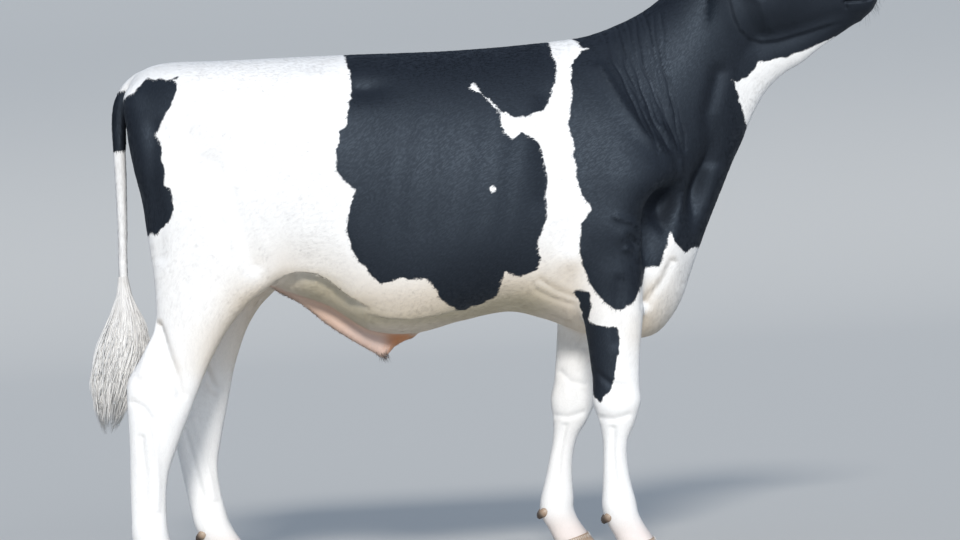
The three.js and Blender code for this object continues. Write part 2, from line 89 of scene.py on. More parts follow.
bodyRibs = [
    rib((-0.984, 1.352), (-0.972, 1.215), 0.062, 0.45),
    rib((-0.972, 1.38), (-0.95, 1.15), 0.112, 0.38, 2.3),
    rib((-0.928, 1.406), (-0.915, 1.06), 0.152, 0.36, 2.5),
    rib((-0.85, 1.416), (-0.84, 0.94), 0.2, 0.38, 2.6, 2),
    rib((-0.745, 1.417), (-0.735, 0.85), 0.226, 0.4, 2.6, 2),
    rib((-0.62, 1.416), (-0.61, 0.787), 0.238, 0.42, 2.6, 2.3),
    rib((-0.49, 1.415), (-0.48, 0.736), 0.25, 0.48, 2.5, 2.5),
    rib((-0.37, 1.414), (-0.368, 0.664), 0.266, 0.57, 2.3, 2.7),
    rib((-0.25, 1.411), (-0.25, 0.65), 0.282, 0.59, 2.2, 2.8),
    rib((-0.12, 1.409), (-0.12, 0.676), 0.288, 0.59, 2.1, 2.8),
    rib((0.01, 1.411), (0.01, 0.692), 0.277, 0.59, 2, 2.7),
    rib((0.11, 1.415), (0.11, 0.664), 0.255, 0.57, 1.9, 2.5),
    rib((0.195, 1.42), (0.21, 0.622), 0.23, 0.55, 1.8, 2.2),
    rib((0.25, 1.425), (0.31, 0.601), 0.208, 0.54, 1.75, 2.1),
    rib((0.285, 1.433), (0.4, 0.611), 0.19, 0.52, 1.75, 2),
    rib((0.318, 1.443), (0.468, 0.684), 0.17, 0.5, 1.8, 1.9),
    rib((0.352, 1.455), (0.515, 0.792), 0.152, 0.47, 1.85, 1.8),
    rib((0.388, 1.47), (0.556, 0.884), 0.138, 0.45, 1.9, 1.75),
    rib((0.425, 1.489), (0.596, 0.968), 0.128, 0.43, 1.95, 1.7),
    rib((0.465, 1.517), (0.637, 1.055), 0.12, 0.42, 2, 1.7),
    rib((0.505, 1.556), (0.67, 1.122), 0.113, 0.4, 2.1, 1.7),
    rib((0.546, 1.607), (0.688, 1.19), 0.106, 0.39, 2.2, 1.7),
    rib((0.586, 1.655), (0.704, 1.25), 0.098, 0.38, 2.2, 1.8),
    rib((0.62, 1.672), (0.722, 1.32), 0.084, 0.4, 2.2, 2),
    rib((0.65, 1.64), (0.735, 1.38), 0.05, 0.45),
]
headRibs = [
    rib((0.61, 1.655), (0.636, 1.45), 0.06, 0.38, 2.2),
    rib((0.624, 1.699), (0.656, 1.406), 0.089, 0.34, 2.4, 2.2),
    rib((0.648, 1.713), (0.69, 1.378), 0.101, 0.32, 2.5, 2.3),
    rib((0.69, 1.698), (0.73, 1.375), 0.107, 0.31, 2.8, 2.3),
    rib((0.735, 1.681), (0.772, 1.384), 0.11, 0.31, 3, 2.3),
    rib((0.776, 1.667), (0.808, 1.393), 0.108, 0.32, 2.9, 2.3),
    rib((0.82, 1.65), (0.848, 1.403), 0.098, 0.35, 2.7, 2.2),
    rib((0.865, 1.634), (0.886, 1.412), 0.086, 0.39, 2.5, 2.2),
    rib((0.91, 1.619), (0.924, 1.42), 0.076, 0.43, 2.4, 2.1),
    rib((0.955, 1.605), (0.961, 1.424), 0.071, 0.46, 2.4, 2.1),
    rib((1, 1.593), (1, 1.426), 0.074, 0.45, 2.6, 2.3),
    rib((1.03, 1.586), (1.016, 1.432), 0.079, 0.43, 2.8, 2.5),
    rib((1.054, 1.577), (1.03, 1.446), 0.08, 0.42, 2.9, 2.6),
    rib((1.072, 1.563), (1.045, 1.466), 0.074, 0.42, 2.8, 2.6),
    rib((1.083, 1.545), (1.06, 1.486), 0.06, 0.46, 2.6, 2.4),
    rib((1.087, 1.528), (1.072, 1.502), 0.038, 0.5),
]
throatRibs = [
    rib((0.606, 1.29), (0.641, 1.098), 0.034, 0.4, 2, 2),
    rib((0.64, 1.35), (0.69, 1.172), 0.06, 0.35, 2, 1.9),
    rib((0.68, 1.4), (0.738, 1.246), 0.06, 0.35, 2, 1.9),
    rib((0.725, 1.425), (0.788, 1.29), 0.052, 0.35, 2, 1.9),
    rib((0.775, 1.435), (0.838, 1.316), 0.046, 0.35, 2, 1.9),
    rib((0.825, 1.44), (0.882, 1.348), 0.042, 0.35, 2, 1.9),
    rib((0.875, 1.446), (0.93, 1.379), 0.038, 0.4, 2, 1.9),
    rib((0.925, 1.455), (0.972, 1.405), 0.034, 0.4, 2, 1.9),
    rib((0.975, 1.472), (1.002, 1.424), 0.024, 0.5),
]
foreRibs = [
    rib((0.326, 1.385), (0.23, 1.388), 0.014, 0.5, 2, 2, -0.102),
    rib((0.368, 1.312), (0.2, 1.322), 0.042, 0.5, 2.2, 2.2, -0.066),
    rib((0.415, 1.21), (0.168, 1.232), 0.074, 0.5, 2.3, 2.3, -0.04),
    rib((0.454, 1.11), (0.148, 1.122), 0.092, 0.5, 2.3, 2.3, -0.024),
    rib((0.468, 1.025), (0.14, 1.02), 0.096, 0.48, 2.3, 2.3, -0.014),
    rib((0.432, 0.95), (0.142, 0.93), 0.091, 0.48, 2.2, 2.2, -0.009),
    rib((0.396, 0.885), (0.154, 0.85), 0.084, 0.5, 2.2, 2.2, -0.006),
    rib((0.38, 0.815), (0.17, 0.792), 0.077, 0.5, 2.2, 2.1, -0.006),
    rib((0.37, 0.74), (0.186, 0.735), 0.07, 0.5, 2.2, 2.1, -0.005),
    rib((0.36, 0.66), (0.2, 0.668), 0.063, 0.5, 2.2, 2, -0.004),
    rib((0.351, 0.59), (0.208, 0.596), 0.056, 0.5, 2.1, 2, -0.002),
    rib((0.345, 0.522), (0.214, 0.524), 0.05, 0.5, 2.1, 2),
    rib((0.341, 0.468), (0.217, 0.47), 0.049, 0.5, 2.4, 2.2),
    rib((0.338, 0.428), (0.218, 0.43), 0.049, 0.5, 2.5, 2.2),
    rib((0.325, 0.383), (0.228, 0.383), 0.042, 0.5, 2.4, 2),
    rib((0.303, 0.335), (0.233, 0.335), 0.033, 0.5, 2.2, 2),
    rib((0.299, 0.28), (0.23, 0.278), 0.03, 0.5, 2.1, 2),
    rib((0.305, 0.225), (0.226, 0.222), 0.032, 0.5, 2.2, 2.1),
    rib((0.315, 0.175), (0.221, 0.168), 0.043, 0.5, 2.4, 2.3),
    rib((0.32, 0.142), (0.228, 0.128), 0.044, 0.5, 2.4, 2.4),
    rib((0.334, 0.11), (0.248, 0.088), 0.043, 0.5, 2.4, 2.3),
    rib((0.349, 0.086), (0.259, 0.062), 0.05, 0.5, 2.5, 2.4),
    rib((0.357, 0.071), (0.266, 0.046), 0.054, 0.5, 2.8, 2.5),
]
hindRibs = [
    rib((-0.64, 1.31), (-0.915, 1.352), 0.044, 0.5, 2.1, 2.1, -0.066),
    rib((-0.575, 1.225), (-0.98, 1.322), 0.072, 0.55, 2.2, 2.3, -0.052),
    rib((-0.54, 1.13), (-0.984, 1.238), 0.097, 0.55, 2.2, 2.4, -0.042),
    rib((-0.524, 1.03), (-0.972, 1.142), 0.11, 0.52, 2.1, 2.4, -0.036),
    rib((-0.524, 0.94), (-0.953, 1.04), 0.11, 0.5, 2.1, 2.3, -0.034),
    rib((-0.55, 0.868), (-0.945, 0.945), 0.098, 0.48, 2, 2.2, -0.028),
    rib((-0.612, 0.808), (-0.936, 0.86), 0.082, 0.46, 2, 2.1, -0.018),
    rib((-0.69, 0.748), (-0.932, 0.788), 0.067, 0.46, 2.1, 2, -0.01),
    rib((-0.742, 0.69), (-0.936, 0.725), 0.057, 0.46, 2.2, 2, -0.006),
    rib((-0.78, 0.63), (-0.962, 0.66), 0.049, 0.45, 2.2, 1.9, -0.002),
    rib((-0.812, 0.57), (-1.004, 0.588), 0.044, 0.42, 2.2, 1.9),
    rib((-0.84, 0.508), (-1.019, 0.53), 0.043, 0.42, 2.3, 2),
    rib((-0.868, 0.446), (-1.021, 0.455), 0.043, 0.46, 2.3, 2.1),
    rib((-0.893, 0.388), (-1.022, 0.39), 0.04, 0.5, 2.3, 2.1),
    rib((-0.919, 0.322), (-1.025, 0.322), 0.033, 0.5, 2.2, 2),
    rib((-0.929, 0.26), (-1.027, 0.258), 0.03, 0.5, 2.1, 2),
    rib((-0.931, 0.208), (-1.028, 0.204), 0.033, 0.5, 2.2, 2.1),
    rib((-0.929, 0.168), (-1.029, 0.158), 0.042, 0.5, 2.4, 2.3),
    rib((-0.922, 0.138), (-1.02, 0.122), 0.043, 0.5, 2.4, 2.4),
    rib((-0.905, 0.108), (-1, 0.086), 0.042, 0.5, 2.4, 2.3),
    rib((-0.888, 0.085), (-0.978, 0.06), 0.048, 0.5, 2.5, 2.4),
    rib((-0.88, 0.071), (-0.965, 0.046), 0.052, 0.5, 2.8, 2.5),
]
sheathRibs = [
    rib((-0.596, 0.85), (-0.606, 0.784), 0.01, 0.6),
    rib((-0.535, 0.83), (-0.55, 0.743), 0.017, 0.7),
    rib((-0.46, 0.78), (-0.48, 0.682), 0.021, 0.75),
    rib((-0.39, 0.73), (-0.415, 0.636), 0.024, 0.75),
    rib((-0.338, 0.7), (-0.362, 0.602), 0.025, 0.75),
    rib((-0.308, 0.69), (-0.336, 0.588), 0.022, 0.75),
    rib((-0.278, 0.69), (-0.3, 0.62), 0.016, 0.7),
    rib((-0.24, 0.69), (-0.25, 0.64), 0.01, 0.6),
]
scrotumRibs = [
    rib((-0.8, 0.85), (-0.88, 0.855), 0.03, 0.5),
    rib((-0.806, 0.8), (-0.884, 0.802), 0.031, 0.5),
    rib((-0.8, 0.755), (-0.894, 0.756), 0.04, 0.5),
    rib((-0.794, 0.705), (-0.902, 0.705), 0.052, 0.5, 2.1, 2.1),
    rib((-0.796, 0.655), (-0.904, 0.655), 0.055, 0.5, 2.2, 2.2),
    rib((-0.81, 0.615), (-0.894, 0.615), 0.044, 0.5, 2.1, 2.1),
    rib((-0.834, 0.594), (-0.874, 0.594), 0.02, 0.5),
]
tailPath = [
    (-0.915, 1.385, 0.02, 0.024),
    (-0.955, 1.374, 0.023, 0.026),
    (-0.99, 1.342, 0.024, 0.026),
    (-1.01, 1.292, 0.0215, 0.023),
    (-1.017, 1.2, 0.0185, 0.0195),
    (-1.019, 1.09, 0.016, 0.017),
    (-1.022, 0.98, 0.014, 0.015),
    (-1.026, 0.89, 0.0125, 0.0135),
    (-1.028, 0.824, 0.0125, 0.0135),
]
switchPath = [
    (-1.028, 0.835, 0.012, 0.013),
    (-1.028, 0.815, 0.016, 0.017),
    (-1.028, 0.77, 0.029, 0.026),
    (-1.03, 0.715, 0.05, 0.037),
    (-1.039, 0.655, 0.066, 0.045),
    (-1.058, 0.59, 0.065, 0.045),
    (-1.075, 0.525, 0.051, 0.038),
    (-1.084, 0.47, 0.033, 0.027),
    (-1.092, 0.424, 0.013, 0.012),
]


# ribs between the given ones, a step apart: a cubic spaced by how far apart their middles are
def between(ribs, step):
    ribs = np.array(ribs, float)
    middle = np.stack([(ribs[:, 0] + ribs[:, 2]) / 2, (ribs[:, 1] + ribs[:, 3]) / 2, ribs[:, 8]], 1)
    knots = np.concatenate([[0], np.cumsum(np.linalg.norm(np.diff(middle, axis=0), axis=1))])
    last = len(ribs) - 1
    before = np.maximum(np.arange(last + 1) - 1, 0)
    after = np.minimum(np.arange(last + 1) + 1, last)
    slope = (ribs[after] - ribs[before]) / (knots[after] - knots[before])[:, None]
    made = []
    for i in range(last):
        span = knots[i + 1] - knots[i]
        pieces = max(1, round(span / step))
        t = (np.arange(pieces) / pieces)[:, None]
        near = 2 * t**3 - 3 * t**2 + 1
        made.append(near * ribs[i] + (1 - near) * ribs[i + 1]
                    + span * (t**3 - 2 * t**2 + t) * slope[i] + span * (t**3 - t**2) * slope[i + 1])
    made.append(ribs[last:])
    return np.concatenate(made)


def ringsOf(ribs, around):
    angle = 2 * np.pi * np.arange(around) / around
    c, s = np.cos(angle), np.sin(angle)
    ax, az, bx, bz, half, widest, na, nb, y = (ribs[:, k, None] for k in range(9))
    n = np.where(c >= 0, na, nb)
    reach = np.where(c >= 0, widest, 1 - widest)
    along = widest - np.sign(c) * reach * np.abs(c) ** (2 / n)
    across = np.sign(s) * half * np.abs(s) ** (2 / n)
    x = ax + (bx - ax) * along + stance["middleX"]
    return np.stack([x, y + across, az + (bz - az) * along], 2)


# rings of points as one closed body: quads along it and a fan at each end
def tube(rings):
    count, around = rings.shape[:2]
    ends = rings[[0, -1]].mean(1)
    points = np.concatenate([rings.reshape(-1, 3), ends])
    i, j = np.meshgrid(np.arange(count - 1), np.arange(around), indexing="ij")
    a, b = i * around + j, i * around + (j + 1) % around
    quads = np.stack([a, a + around, b + around, b], 2).reshape(-1, 4)
    j = np.arange(around)
    k = (j + 1) % around
    top = (count - 1) * around
    first = np.stack([np.full(around, count * around), j, k], 1)
    final = np.stack([np.full(around, count * around + 1), top + k, top + j], 1)
    return points, quads, np.concatenate([first, final])


def standing(ribs, end, side):
    pose = stance[end]
    swing = pose["swing"] if side == left else 0
    moved = []
    for ax, az, bx, bz, half, widest, na, nb, y in ribs:
        shift = [swing * max(0, pose["pivot"] - max(z, stance["fetlock"])) for z in (az, bz)]
        y = side * (pose["midline"] + y)
        moved.append(rib((ax + shift[0], az), (bx + shift[1], bz), half, widest, na, nb, y))
    return moved


# ribs square to a path in the side view: x, z, radius fore and aft, radius across
def alongPath(path):
    made = []
    for i, (x, z, fore, across) in enumerate(path):
        p, q = path[max(0, i - 1)], path[min(len(path) - 1, i + 1)]
        run = math.hypot(q[0] - p[0], q[1] - p[1])
        nx, nz = fore * (p[1] - q[1]) / run, fore * (q[0] - p[0]) / run
        made.append(rib((x + nx, z + nz), (x - nx, z - nz), across))
    return made


# a cupped leaf with its hollow side to the front
ear = dict(base=(0.650, 0.078, 1.620), tip=(0.588, 0.262, 1.518), upper=(0.45, -0.45, 0.77),
           halfChord=0.054, edge=0.003, thick=0.012, cup=0.020,
           swollen=2.6)  # how much thicker it is while it is still a field


def earFrame(side):
    turn = np.array([1, side, 1])
    base, tip = np.array(ear["base"]) * turn, np.array(ear["tip"]) * turn
    base[0] += stance["middleX"]
    tip[0] += stance["middleX"]
    direction = unit(tip - base)
    upper = np.array(ear["upper"]) * turn
    upper = unit(upper - direction * (upper @ direction))
    return base, tip - base, upper, np.cross(direction, upper) * side


# half the width of the leaf, and how deep it is hollowed, from its base (0) to its tip (1)
def earChord(t):
    return ear["halfChord"] * np.minimum(1, 0.45 + 2.2 * t) * np.sqrt(np.maximum(0, 1 - t**3))


def earCup(t):
    return ear["cup"] * np.sin(np.pi * np.clip(0.25 + 0.75 * t, 0, 1)) ** 0.6


def earRings(side, stations, across):
    base, along, upper, front = earFrame(side)
    rings = []
    for t in np.linspace(0, 1, stations):
        chord = earChord(t) + ear["edge"]
        half = ear["thick"] / 2 * max(ear["swollen"], 1 + 1.6 * (1 - t) ** 4)
        angle = np.pi * np.arange(2 * across) / across
        u = -np.sign(np.cos(angle)) * np.abs(np.cos(angle)) ** 0.6
        blunt = np.sign(np.sin(angle)) * np.abs(np.sin(angle)) ** 0.6
        depth = -earCup(t) * (1 - u * u) - blunt * half
        rings.append(base + along * t + upper * u[:, None] * chord + front * depth[:, None])
    return np.array(rings)


# the flesh is one field of distances on a grid, in which the lofts melt into each other
flesh = dict(
    cell=0.006, band=0.042, margin=0.045, blurCells=2, blurRounds=3,
    coat=0.0028, faceCoat=0.0014, legCoat=0.0020,  # how deep the coat is
)
# how close a part's rings lie, the corners of a ring, and how softly it melts into the rest
lofting = dict(body=(0.012, 128, 0.001), leg=(0.010, 64, 0.034), head=(0.008, 96, 0.020),
               throat=(0.010, 64, 0.020), tail=(0.008, 40, 0.012), sheath=(0.008, 40, 0.024),
               scrotum=(0.008, 48, 0.024))
earLoft = dict(stations=60, across=24, blend=0.012)
gridLow = np.floor((np.array(cadBox[0]) - flesh["margin"]) / flesh["cell"]).astype(int)
gridHigh = np.ceil((np.array(cadBox[1]) + flesh["margin"]) / flesh["cell"]).astype(int)


def fieldOf(rings):
    points, quads, caps = tube(rings)
    lo = np.maximum(np.floor((points.min(0) - flesh["margin"]) / flesh["cell"]).astype(int), gridLow)
    hi = np.minimum(np.ceil((points.max(0) + flesh["margin"]) / flesh["cell"]).astype(int), gridHigh)
    grid = vdb.FloatGrid.createLevelSetFromPolygons(
        points.astype(np.float32), triangles=caps.astype(np.uint32), quads=quads.astype(np.uint32),
        transform=vdb.createLinearTransform(flesh["cell"]), halfWidth=flesh["band"] / flesh["cell"])
    field = np.full(hi - lo, flesh["band"], np.float32)
    grid.copyToArray(field, ijk=tuple(int(v) for v in lo))
    return field, lo - gridLow, hi - gridLow


def melt(whole, part, blend):
    field, lo, hi = part
    there = whole[lo[0]:hi[0], lo[1]:hi[1], lo[2]:hi[2]]
    t = np.clip(0.5 + 0.5 * (field - there) / blend, 0, 1)
    there[:] = field + (there - field) * t - blend * t * (1 - t)


def boxBlur(field, reach):
    for axis in range(3):
        wide = [(0, 0)] * 3
        wide[axis] = (reach + 1, reach)
        sums = np.cumsum(np.pad(field, wide, mode="edge"), axis=axis, dtype=np.float64)
        n = field.shape[axis]
        ahead = np.take(sums, np.arange(n) + 2 * reach + 1, axis)
        behind = np.take(sums, np.arange(n), axis)
        field = ((ahead - behind) / (2 * reach + 1)).astype(np.float32)
    return field


def coatDepth(x, z):
    aboveLegs = smooth(z, 0.45, 0.75)
    onFace = smooth(x, 0.62, 0.72) * smooth(z, 1.30, 1.42)
    onTail = smooth(-x, 0.955, 0.985) * smooth(-z, -1.36, -1.30)
    depth = mixed(flesh["legCoat"], flesh["coat"], aboveLegs)
    depth = mixed(depth, flesh["faceCoat"], onFace)
    return mixed(depth, flesh["faceCoat"], onTail)


def buildFlesh():
    whole = np.full(gridHigh - gridLow, flesh["band"], np.float32)

    def add(kind, ribs):
        step, around, blend = lofting[kind]
        melt(whole, fieldOf(ringsOf(between(ribs, step), around)), blend)

    add("body", bodyRibs)
    for side in (left, right):
        for end, ribs in (("fore", foreRibs), ("hind", hindRibs)):
            add("leg", standing(ribs, end, side))
    x = (np.arange(gridLow[0], gridHigh[0]) * flesh["cell"])[:, None, None]
    z = (np.arange(gridLow[2], gridHigh[2]) * flesh["cell"])[None, None, :]
    soft = whole
    for _ in range(flesh["blurRounds"]):
        soft = boxBlur(soft, flesh["blurCells"])
    # softened between the legs and the neck, and along the top behind the withers
    middle = smooth(z, 0.74, 0.92) * (1 - smooth(z - 0.25 * (x - 0.6), 1.30, 1.42))
    top = smooth(z, 1.20, 1.34) * smooth(-x, -0.30, 0.0)
    whole += (soft - whole) * (middle + top).clip(0, 1).astype(np.float32)
    add("head", headRibs)
    add("throat", throatRibs)
    add("tail", alongPath(tailPath))
    add("sheath", sheathRibs)
    add("scrotum", scrotumRibs)
    for side in (left, right):
        melt(whole, fieldOf(earRings(side, earLoft["stations"], earLoft["across"])), earLoft["blend"])
    whole += coatDepth(x, z).astype(np.float32)
    grid = vdb.FloatGrid(flesh["band"])
    grid.copyFromArray(whole, ijk=tuple(int(v) for v in gridLow))
    grid.transform = vdb.createLinearTransform(flesh["cell"])
    grid.gridClass = vdb.GridClass.LEVEL_SET
    points, quads = grid.convertToQuads(0.0)
    return points, quads[:, ::-1]  # turned so that they look out


def meshFrom(name, points, quads=None, tris=None):
    mesh = bpy.data.meshes.new(name)
    blocks = [f for f in (quads, tris) if f is not None]
    loops = np.concatenate([f.ravel() for f in blocks])
    sizes = np.concatenate([np.full(len(f), f.shape[1]) for f in blocks])
    mesh.vertices.add(len(points))
    mesh.vertices.foreach_set("co", np.ascontiguousarray(points, np.float32).ravel())
    mesh.loops.add(len(loops))
    mesh.loops.foreach_set("vertex_index", loops.astype(np.int32))
    mesh.polygons.add(len(sizes))
    mesh.polygons.foreach_set("loop_start", (np.cumsum(sizes) - sizes).astype(np.int32))
    mesh.polygons.foreach_set("loop_total", sizes.astype(np.int32))
    mesh.polygons.foreach_set("use_smooth", np.full(len(sizes), True))
    mesh.update(calc_edges=True)
    return mesh


def pointsOf(mesh):
    points = np.empty(len(mesh.vertices) * 3, np.float32)
    mesh.vertices.foreach_get("co", points)
    return points.reshape(-1, 3).astype(float)


def normalsOf(mesh):
    normals = np.empty(len(mesh.vertices) * 3, np.float32)
    mesh.vertex_normals.foreach_get("vector", normals)
    return normals.reshape(-1, 3).astype(float)


def setPoints(mesh, points):
    mesh.vertices.foreach_set("co", points.astype(np.float32).ravel())
    mesh.update()


# the eye and the nostril: where they are, where they look, their size along and across, how far they reach
eye = dict(at=(0.776, 0.0875, 1.584), radius=0.0205, look=(0.26, 0.95, 0.16), forward=(0.93, 0.0, -0.36),
           long=0.0198, high=0.0138, lid=0.0018, socket=0.0040, reach=0.040,
           lidEdge=(0.90, 1.02), melting=(1.12, 1.60), taller=1.25, clear=0.0015,
           creases=((1.28, 0.08, 0.0007), (1.5, 0.09, 0.0005)))  # how far out, how wide, how deep
nostril = dict(at=(1.066, 0.054, 1.545), look=(0.72, 0.66, 0.20), forward=(0.45, -0.45, -0.78),
               long=0.0185, high=0.0090, depth=0.020, rim=0.0028, reach=0.032, curl=12,
               wall=(0.45, 1.05), rimAt=1.25, rimWide=0.25)
# parts of the skin with squares of half the size: the ranges of x, of y to either side, and of z
finerParts = [
    ((0.62, 2), (-1, 1), (1.10, 2)),  # head and upper neck
    ((-2, 2), (-1, 1), (-1, 0.52)),  # lower legs
    ((0.30, 0.63), (-1, 1), (0.78, 1.47)),  # shoulder and lower neck
    ((-0.67, -0.34), (0.06, 1), (0.68, 0.86)),  # fold of the flank
]
relaxing = dict(rounds=4, steps=(0.5, -0.53))  # in and out again, so that nothing shrinks


def placeOf(item, side):
    x, y, z = item["at"]
    return np.array([x + stance["middleX"], side * y, z])


def frameOf(item, side):
    turn = np.array([1, side, 1])
    out = unit(np.array(item["look"]) * turn)
    along = np.array(item["forward"]) * turn
    along = unit(along - out * (along @ out))
    return along, np.cross(along, out) * -side, out


def refine(bm, chosen):
    faces = [f for f in bm.faces if chosen(f.calc_center_median())]
    edges = list({e for f in faces for e in f.edges})
    bmesh.ops.subdivide_edges(bm, edges=edges, cuts=1, use_grid_fill=True)


def nearAny(item, reach):
    spots = [placeOf(item, side) for side in (left, right)]
    return lambda c: any((c.x - s[0]) ** 2 + (c.y - s[1]) ** 2 + (c.z - s[2]) ** 2 < reach**2 for s in spots)


def inFinerPart(c):
    place = (c.x, abs(c.y), c.z)
    return any(all(lo < v < hi for v, (lo, hi) in zip(place, part)) for part in finerParts)


def relax(mesh):
    edges = np.empty(len(mesh.edges) * 2, np.int32)
    mesh.edges.foreach_get("vertices", edges)
    a, b = edges.reshape(-1, 2).T
    points = pointsOf(mesh)
    count = len(points)
    degree = (np.bincount(a, minlength=count) + np.bincount(b, minlength=count))[:, None]
    for step in relaxing["steps"] * relaxing["rounds"]:
        total = np.stack([np.bincount(a, points[b, k], count) + np.bincount(b, points[a, k], count)
                          for k in range(3)], 1)
        points += step * (total / degree - points)
    setPoints(mesh, points)


def buildSkinMesh():
    points, quads = buildFlesh()
    mesh = meshFrom("skin", points, quads)
    bm = bmesh.new()
    bm.from_mesh(mesh)
    refine(bm, inFinerPart)
    byEye, byNostril = nearAny(eye, eye["reach"] + 0.004), nearAny(nostril, nostril["reach"])
    refine(bm, lambda c: byEye(c) or byNostril(c))
    refine(bm, nearAny(eye, eye["reach"] - 0.006))
    bm.to_mesh(mesh)
    bm.free()
    relax(mesh)
    return mesh


# swellings and hollows (minus) of the skin, in the frame of the lofts: where (x, y, z), how far, how high;
# a leg's own forms are given for the right leg and follow the left one
swells = [
    ((-0.478, 0.240, 1.352), (0.062, 0.070, 0.042), 0.022),  # hook bone
    ((-0.962, 0.112, 1.330), (0.042, 0.060, 0.042), 0.012),  # pin bone
    ((-0.735, 0.215, 1.235), (0.075, 0.070, 0.060), 0.010),  # hip joint
    ((-0.345, 0.225, 1.312), (0.075, 0.080, 0.036), -0.012),  # hollow of the flank
    ((-0.335, 0.225, 1.318), (0.045, 0.080, 0.018), -0.006),
    ((-0.885, 0.030, 1.412), (0.090, 0.040, 0.050), 0.006),  # tail head
    ((-0.797, 0.220, 1.125), (0.040, 0.080, 0.058), -0.012),  # between the thigh's muscles
    ((-0.817, 0.220, 1.215), (0.030, 0.080, 0.050), -0.006),
    ((-0.640, 0.225, 1.040), (0.050, 0.080, 0.080), 0.006),  # front of the thigh
    ((0.330, 0.190, 0.880), (0.030, 0.060, 0.026), 0.009),  # end of the arm's muscle
    ((0.318, 0.200, 1.040), (0.070, 0.080, 0.080), 0.008),  # arm muscles
    ((0.290, 0.200, 0.905), (0.070, 0.070, 0.060), 0.008),
    ((0.300, 0.200, 0.780), (0.060, 0.070, 0.050), 0.006),
    ((0.640, 0.050, 1.706), (0.040, 0.060, 0.036), 0.004),  # poll
    ((0.712, 0.098, 1.450), (0.062, 0.050, 0.062), 0.009),  # cheek muscle
    ((0.768, 0.100, 1.622), (0.044, 0.040, 0.024), 0.012),  # brow
    ((0.780, 0.108, 1.584), (0.036, 0.040, 0.028), -0.0045),  # eye socket
    ((0.715, 0.100, 1.628), (0.030, 0.040, 0.020), -0.008),  # temple
    ((0.900, 0.062, 1.490), (0.080, 0.050, 0.040), -0.006),  # hollow of the cheek
    ((0.800, 0.000, 1.655), (0.060, 0.045, 0.060), -0.004),  # dish of the forehead
    ((1.052, 0.060, 1.552), (0.026, 0.034, 0.026), 0.004),  # wing of the nostril
    ((1.086, 0.000, 1.530), (0.020, 0.009, 0.035), -0.0035),  # between the nostrils
    ((1.060, 0.045, 1.500), (0.030, 0.040, 0.012), 0.004),  # upper lip
    ((1.030, 0.030, 1.452), (0.030, 0.040, 0.014), 0.003),  # lower lip
]
legSwells = [
    ((0.175, 0.200, 0.830), (0.034, 0.060, 0.036), 0.010),  # elbow
    ((0.335, 0.190, 0.670), (0.034, 0.060, 0.075), 0.006),  # forearm muscle
    ((0.334, 0.170, 0.447), (0.022, 0.060, 0.026), 0.005),  # knee
    ((0.224, 0.150, 0.452), (0.018, 0.050, 0.030), 0.005),
    ((0.275, 0.195, 0.425), (0.040, 0.030, 0.020), 0.004),
    ((0.245, 0.192, 0.165), (0.030, 0.030, 0.024), 0.004),  # fetlock
    ((-0.925, 0.200, 0.655), (0.026, 0.060, 0.055), -0.010),  # hollow before the big tendon
    ((-1.004, 0.158, 0.560), (0.020, 0.050, 0.036), 0.006),  # point of the hock
    ((-0.885, 0.190, 0.540), (0.040, 0.040, 0.030), 0.005),
    ((-0.900, 0.190, 0.475), (0.050, 0.040, 0.030), 0.003),
    ((-0.800, 0.215, 0.720), (0.060, 0.050, 0.080), 0.006),  # calf
    ((-0.985, 0.192, 0.160), (0.030, 0.030, 0.024), 0.004),
]
# grooves (minus) and ridges (plus) on the sides: the line's points in x and z, its width and its height
folds = [
    # thigh: between its muscles, and along its back edge
    ([(-0.745, 1.130), (-0.732, 1.096), (-0.708, 1.040), (-0.694, 0.971), (-0.680, 0.911), (-0.660, 0.860)],
     0.026, -0.009),
    ([(-0.905, 1.240), (-0.912, 1.120), (-0.908, 1.000), (-0.910, 0.900)], 0.024, -0.006),
    # shoulder: the ridge of the blade, the hollow behind it, the point, the channel up the neck
    ([(0.290, 1.330), (0.345, 1.215), (0.387, 1.150), (0.444, 1.095), (0.472, 1.028)], 0.016, 0.007),
    ([(0.150, 1.250), (0.135, 1.120), (0.130, 1.000)], 0.036, -0.008),
    ([(0.440, 1.160), (0.484, 1.080), (0.496, 1.010), (0.486, 0.955), (0.462, 0.905)], 0.012, 0.008),
    ([(0.584, 1.066), (0.572, 1.190), (0.607, 1.300)], 0.022, -0.010),
    # round the end of the arm's muscle, and between forearm and brisket
    ([(0.305, 0.930), (0.347, 0.912), (0.375, 0.878), (0.362, 0.845), (0.324, 0.843)], 0.010, 0.005),
    ([(0.336, 0.872), (0.348, 0.846)], 0.012, -0.009),
    ([(0.373, 0.690), (0.397, 0.724), (0.428, 0.761), (0.452, 0.802)], 0.011, -0.006),
    # head: the ridge under the eye, the back edge of the jaw, the corner of the mouth
    ([(0.810, 1.540), (0.870, 1.522), (0.930, 1.502)], 0.013, 0.004),
    ([(0.690, 1.520), (0.730, 1.480), (0.745, 1.420)], 0.014, 0.004),
    ([(0.966, 1.480), (0.956, 1.468), (0.960, 1.456)], 0.0050, -0.004),
]
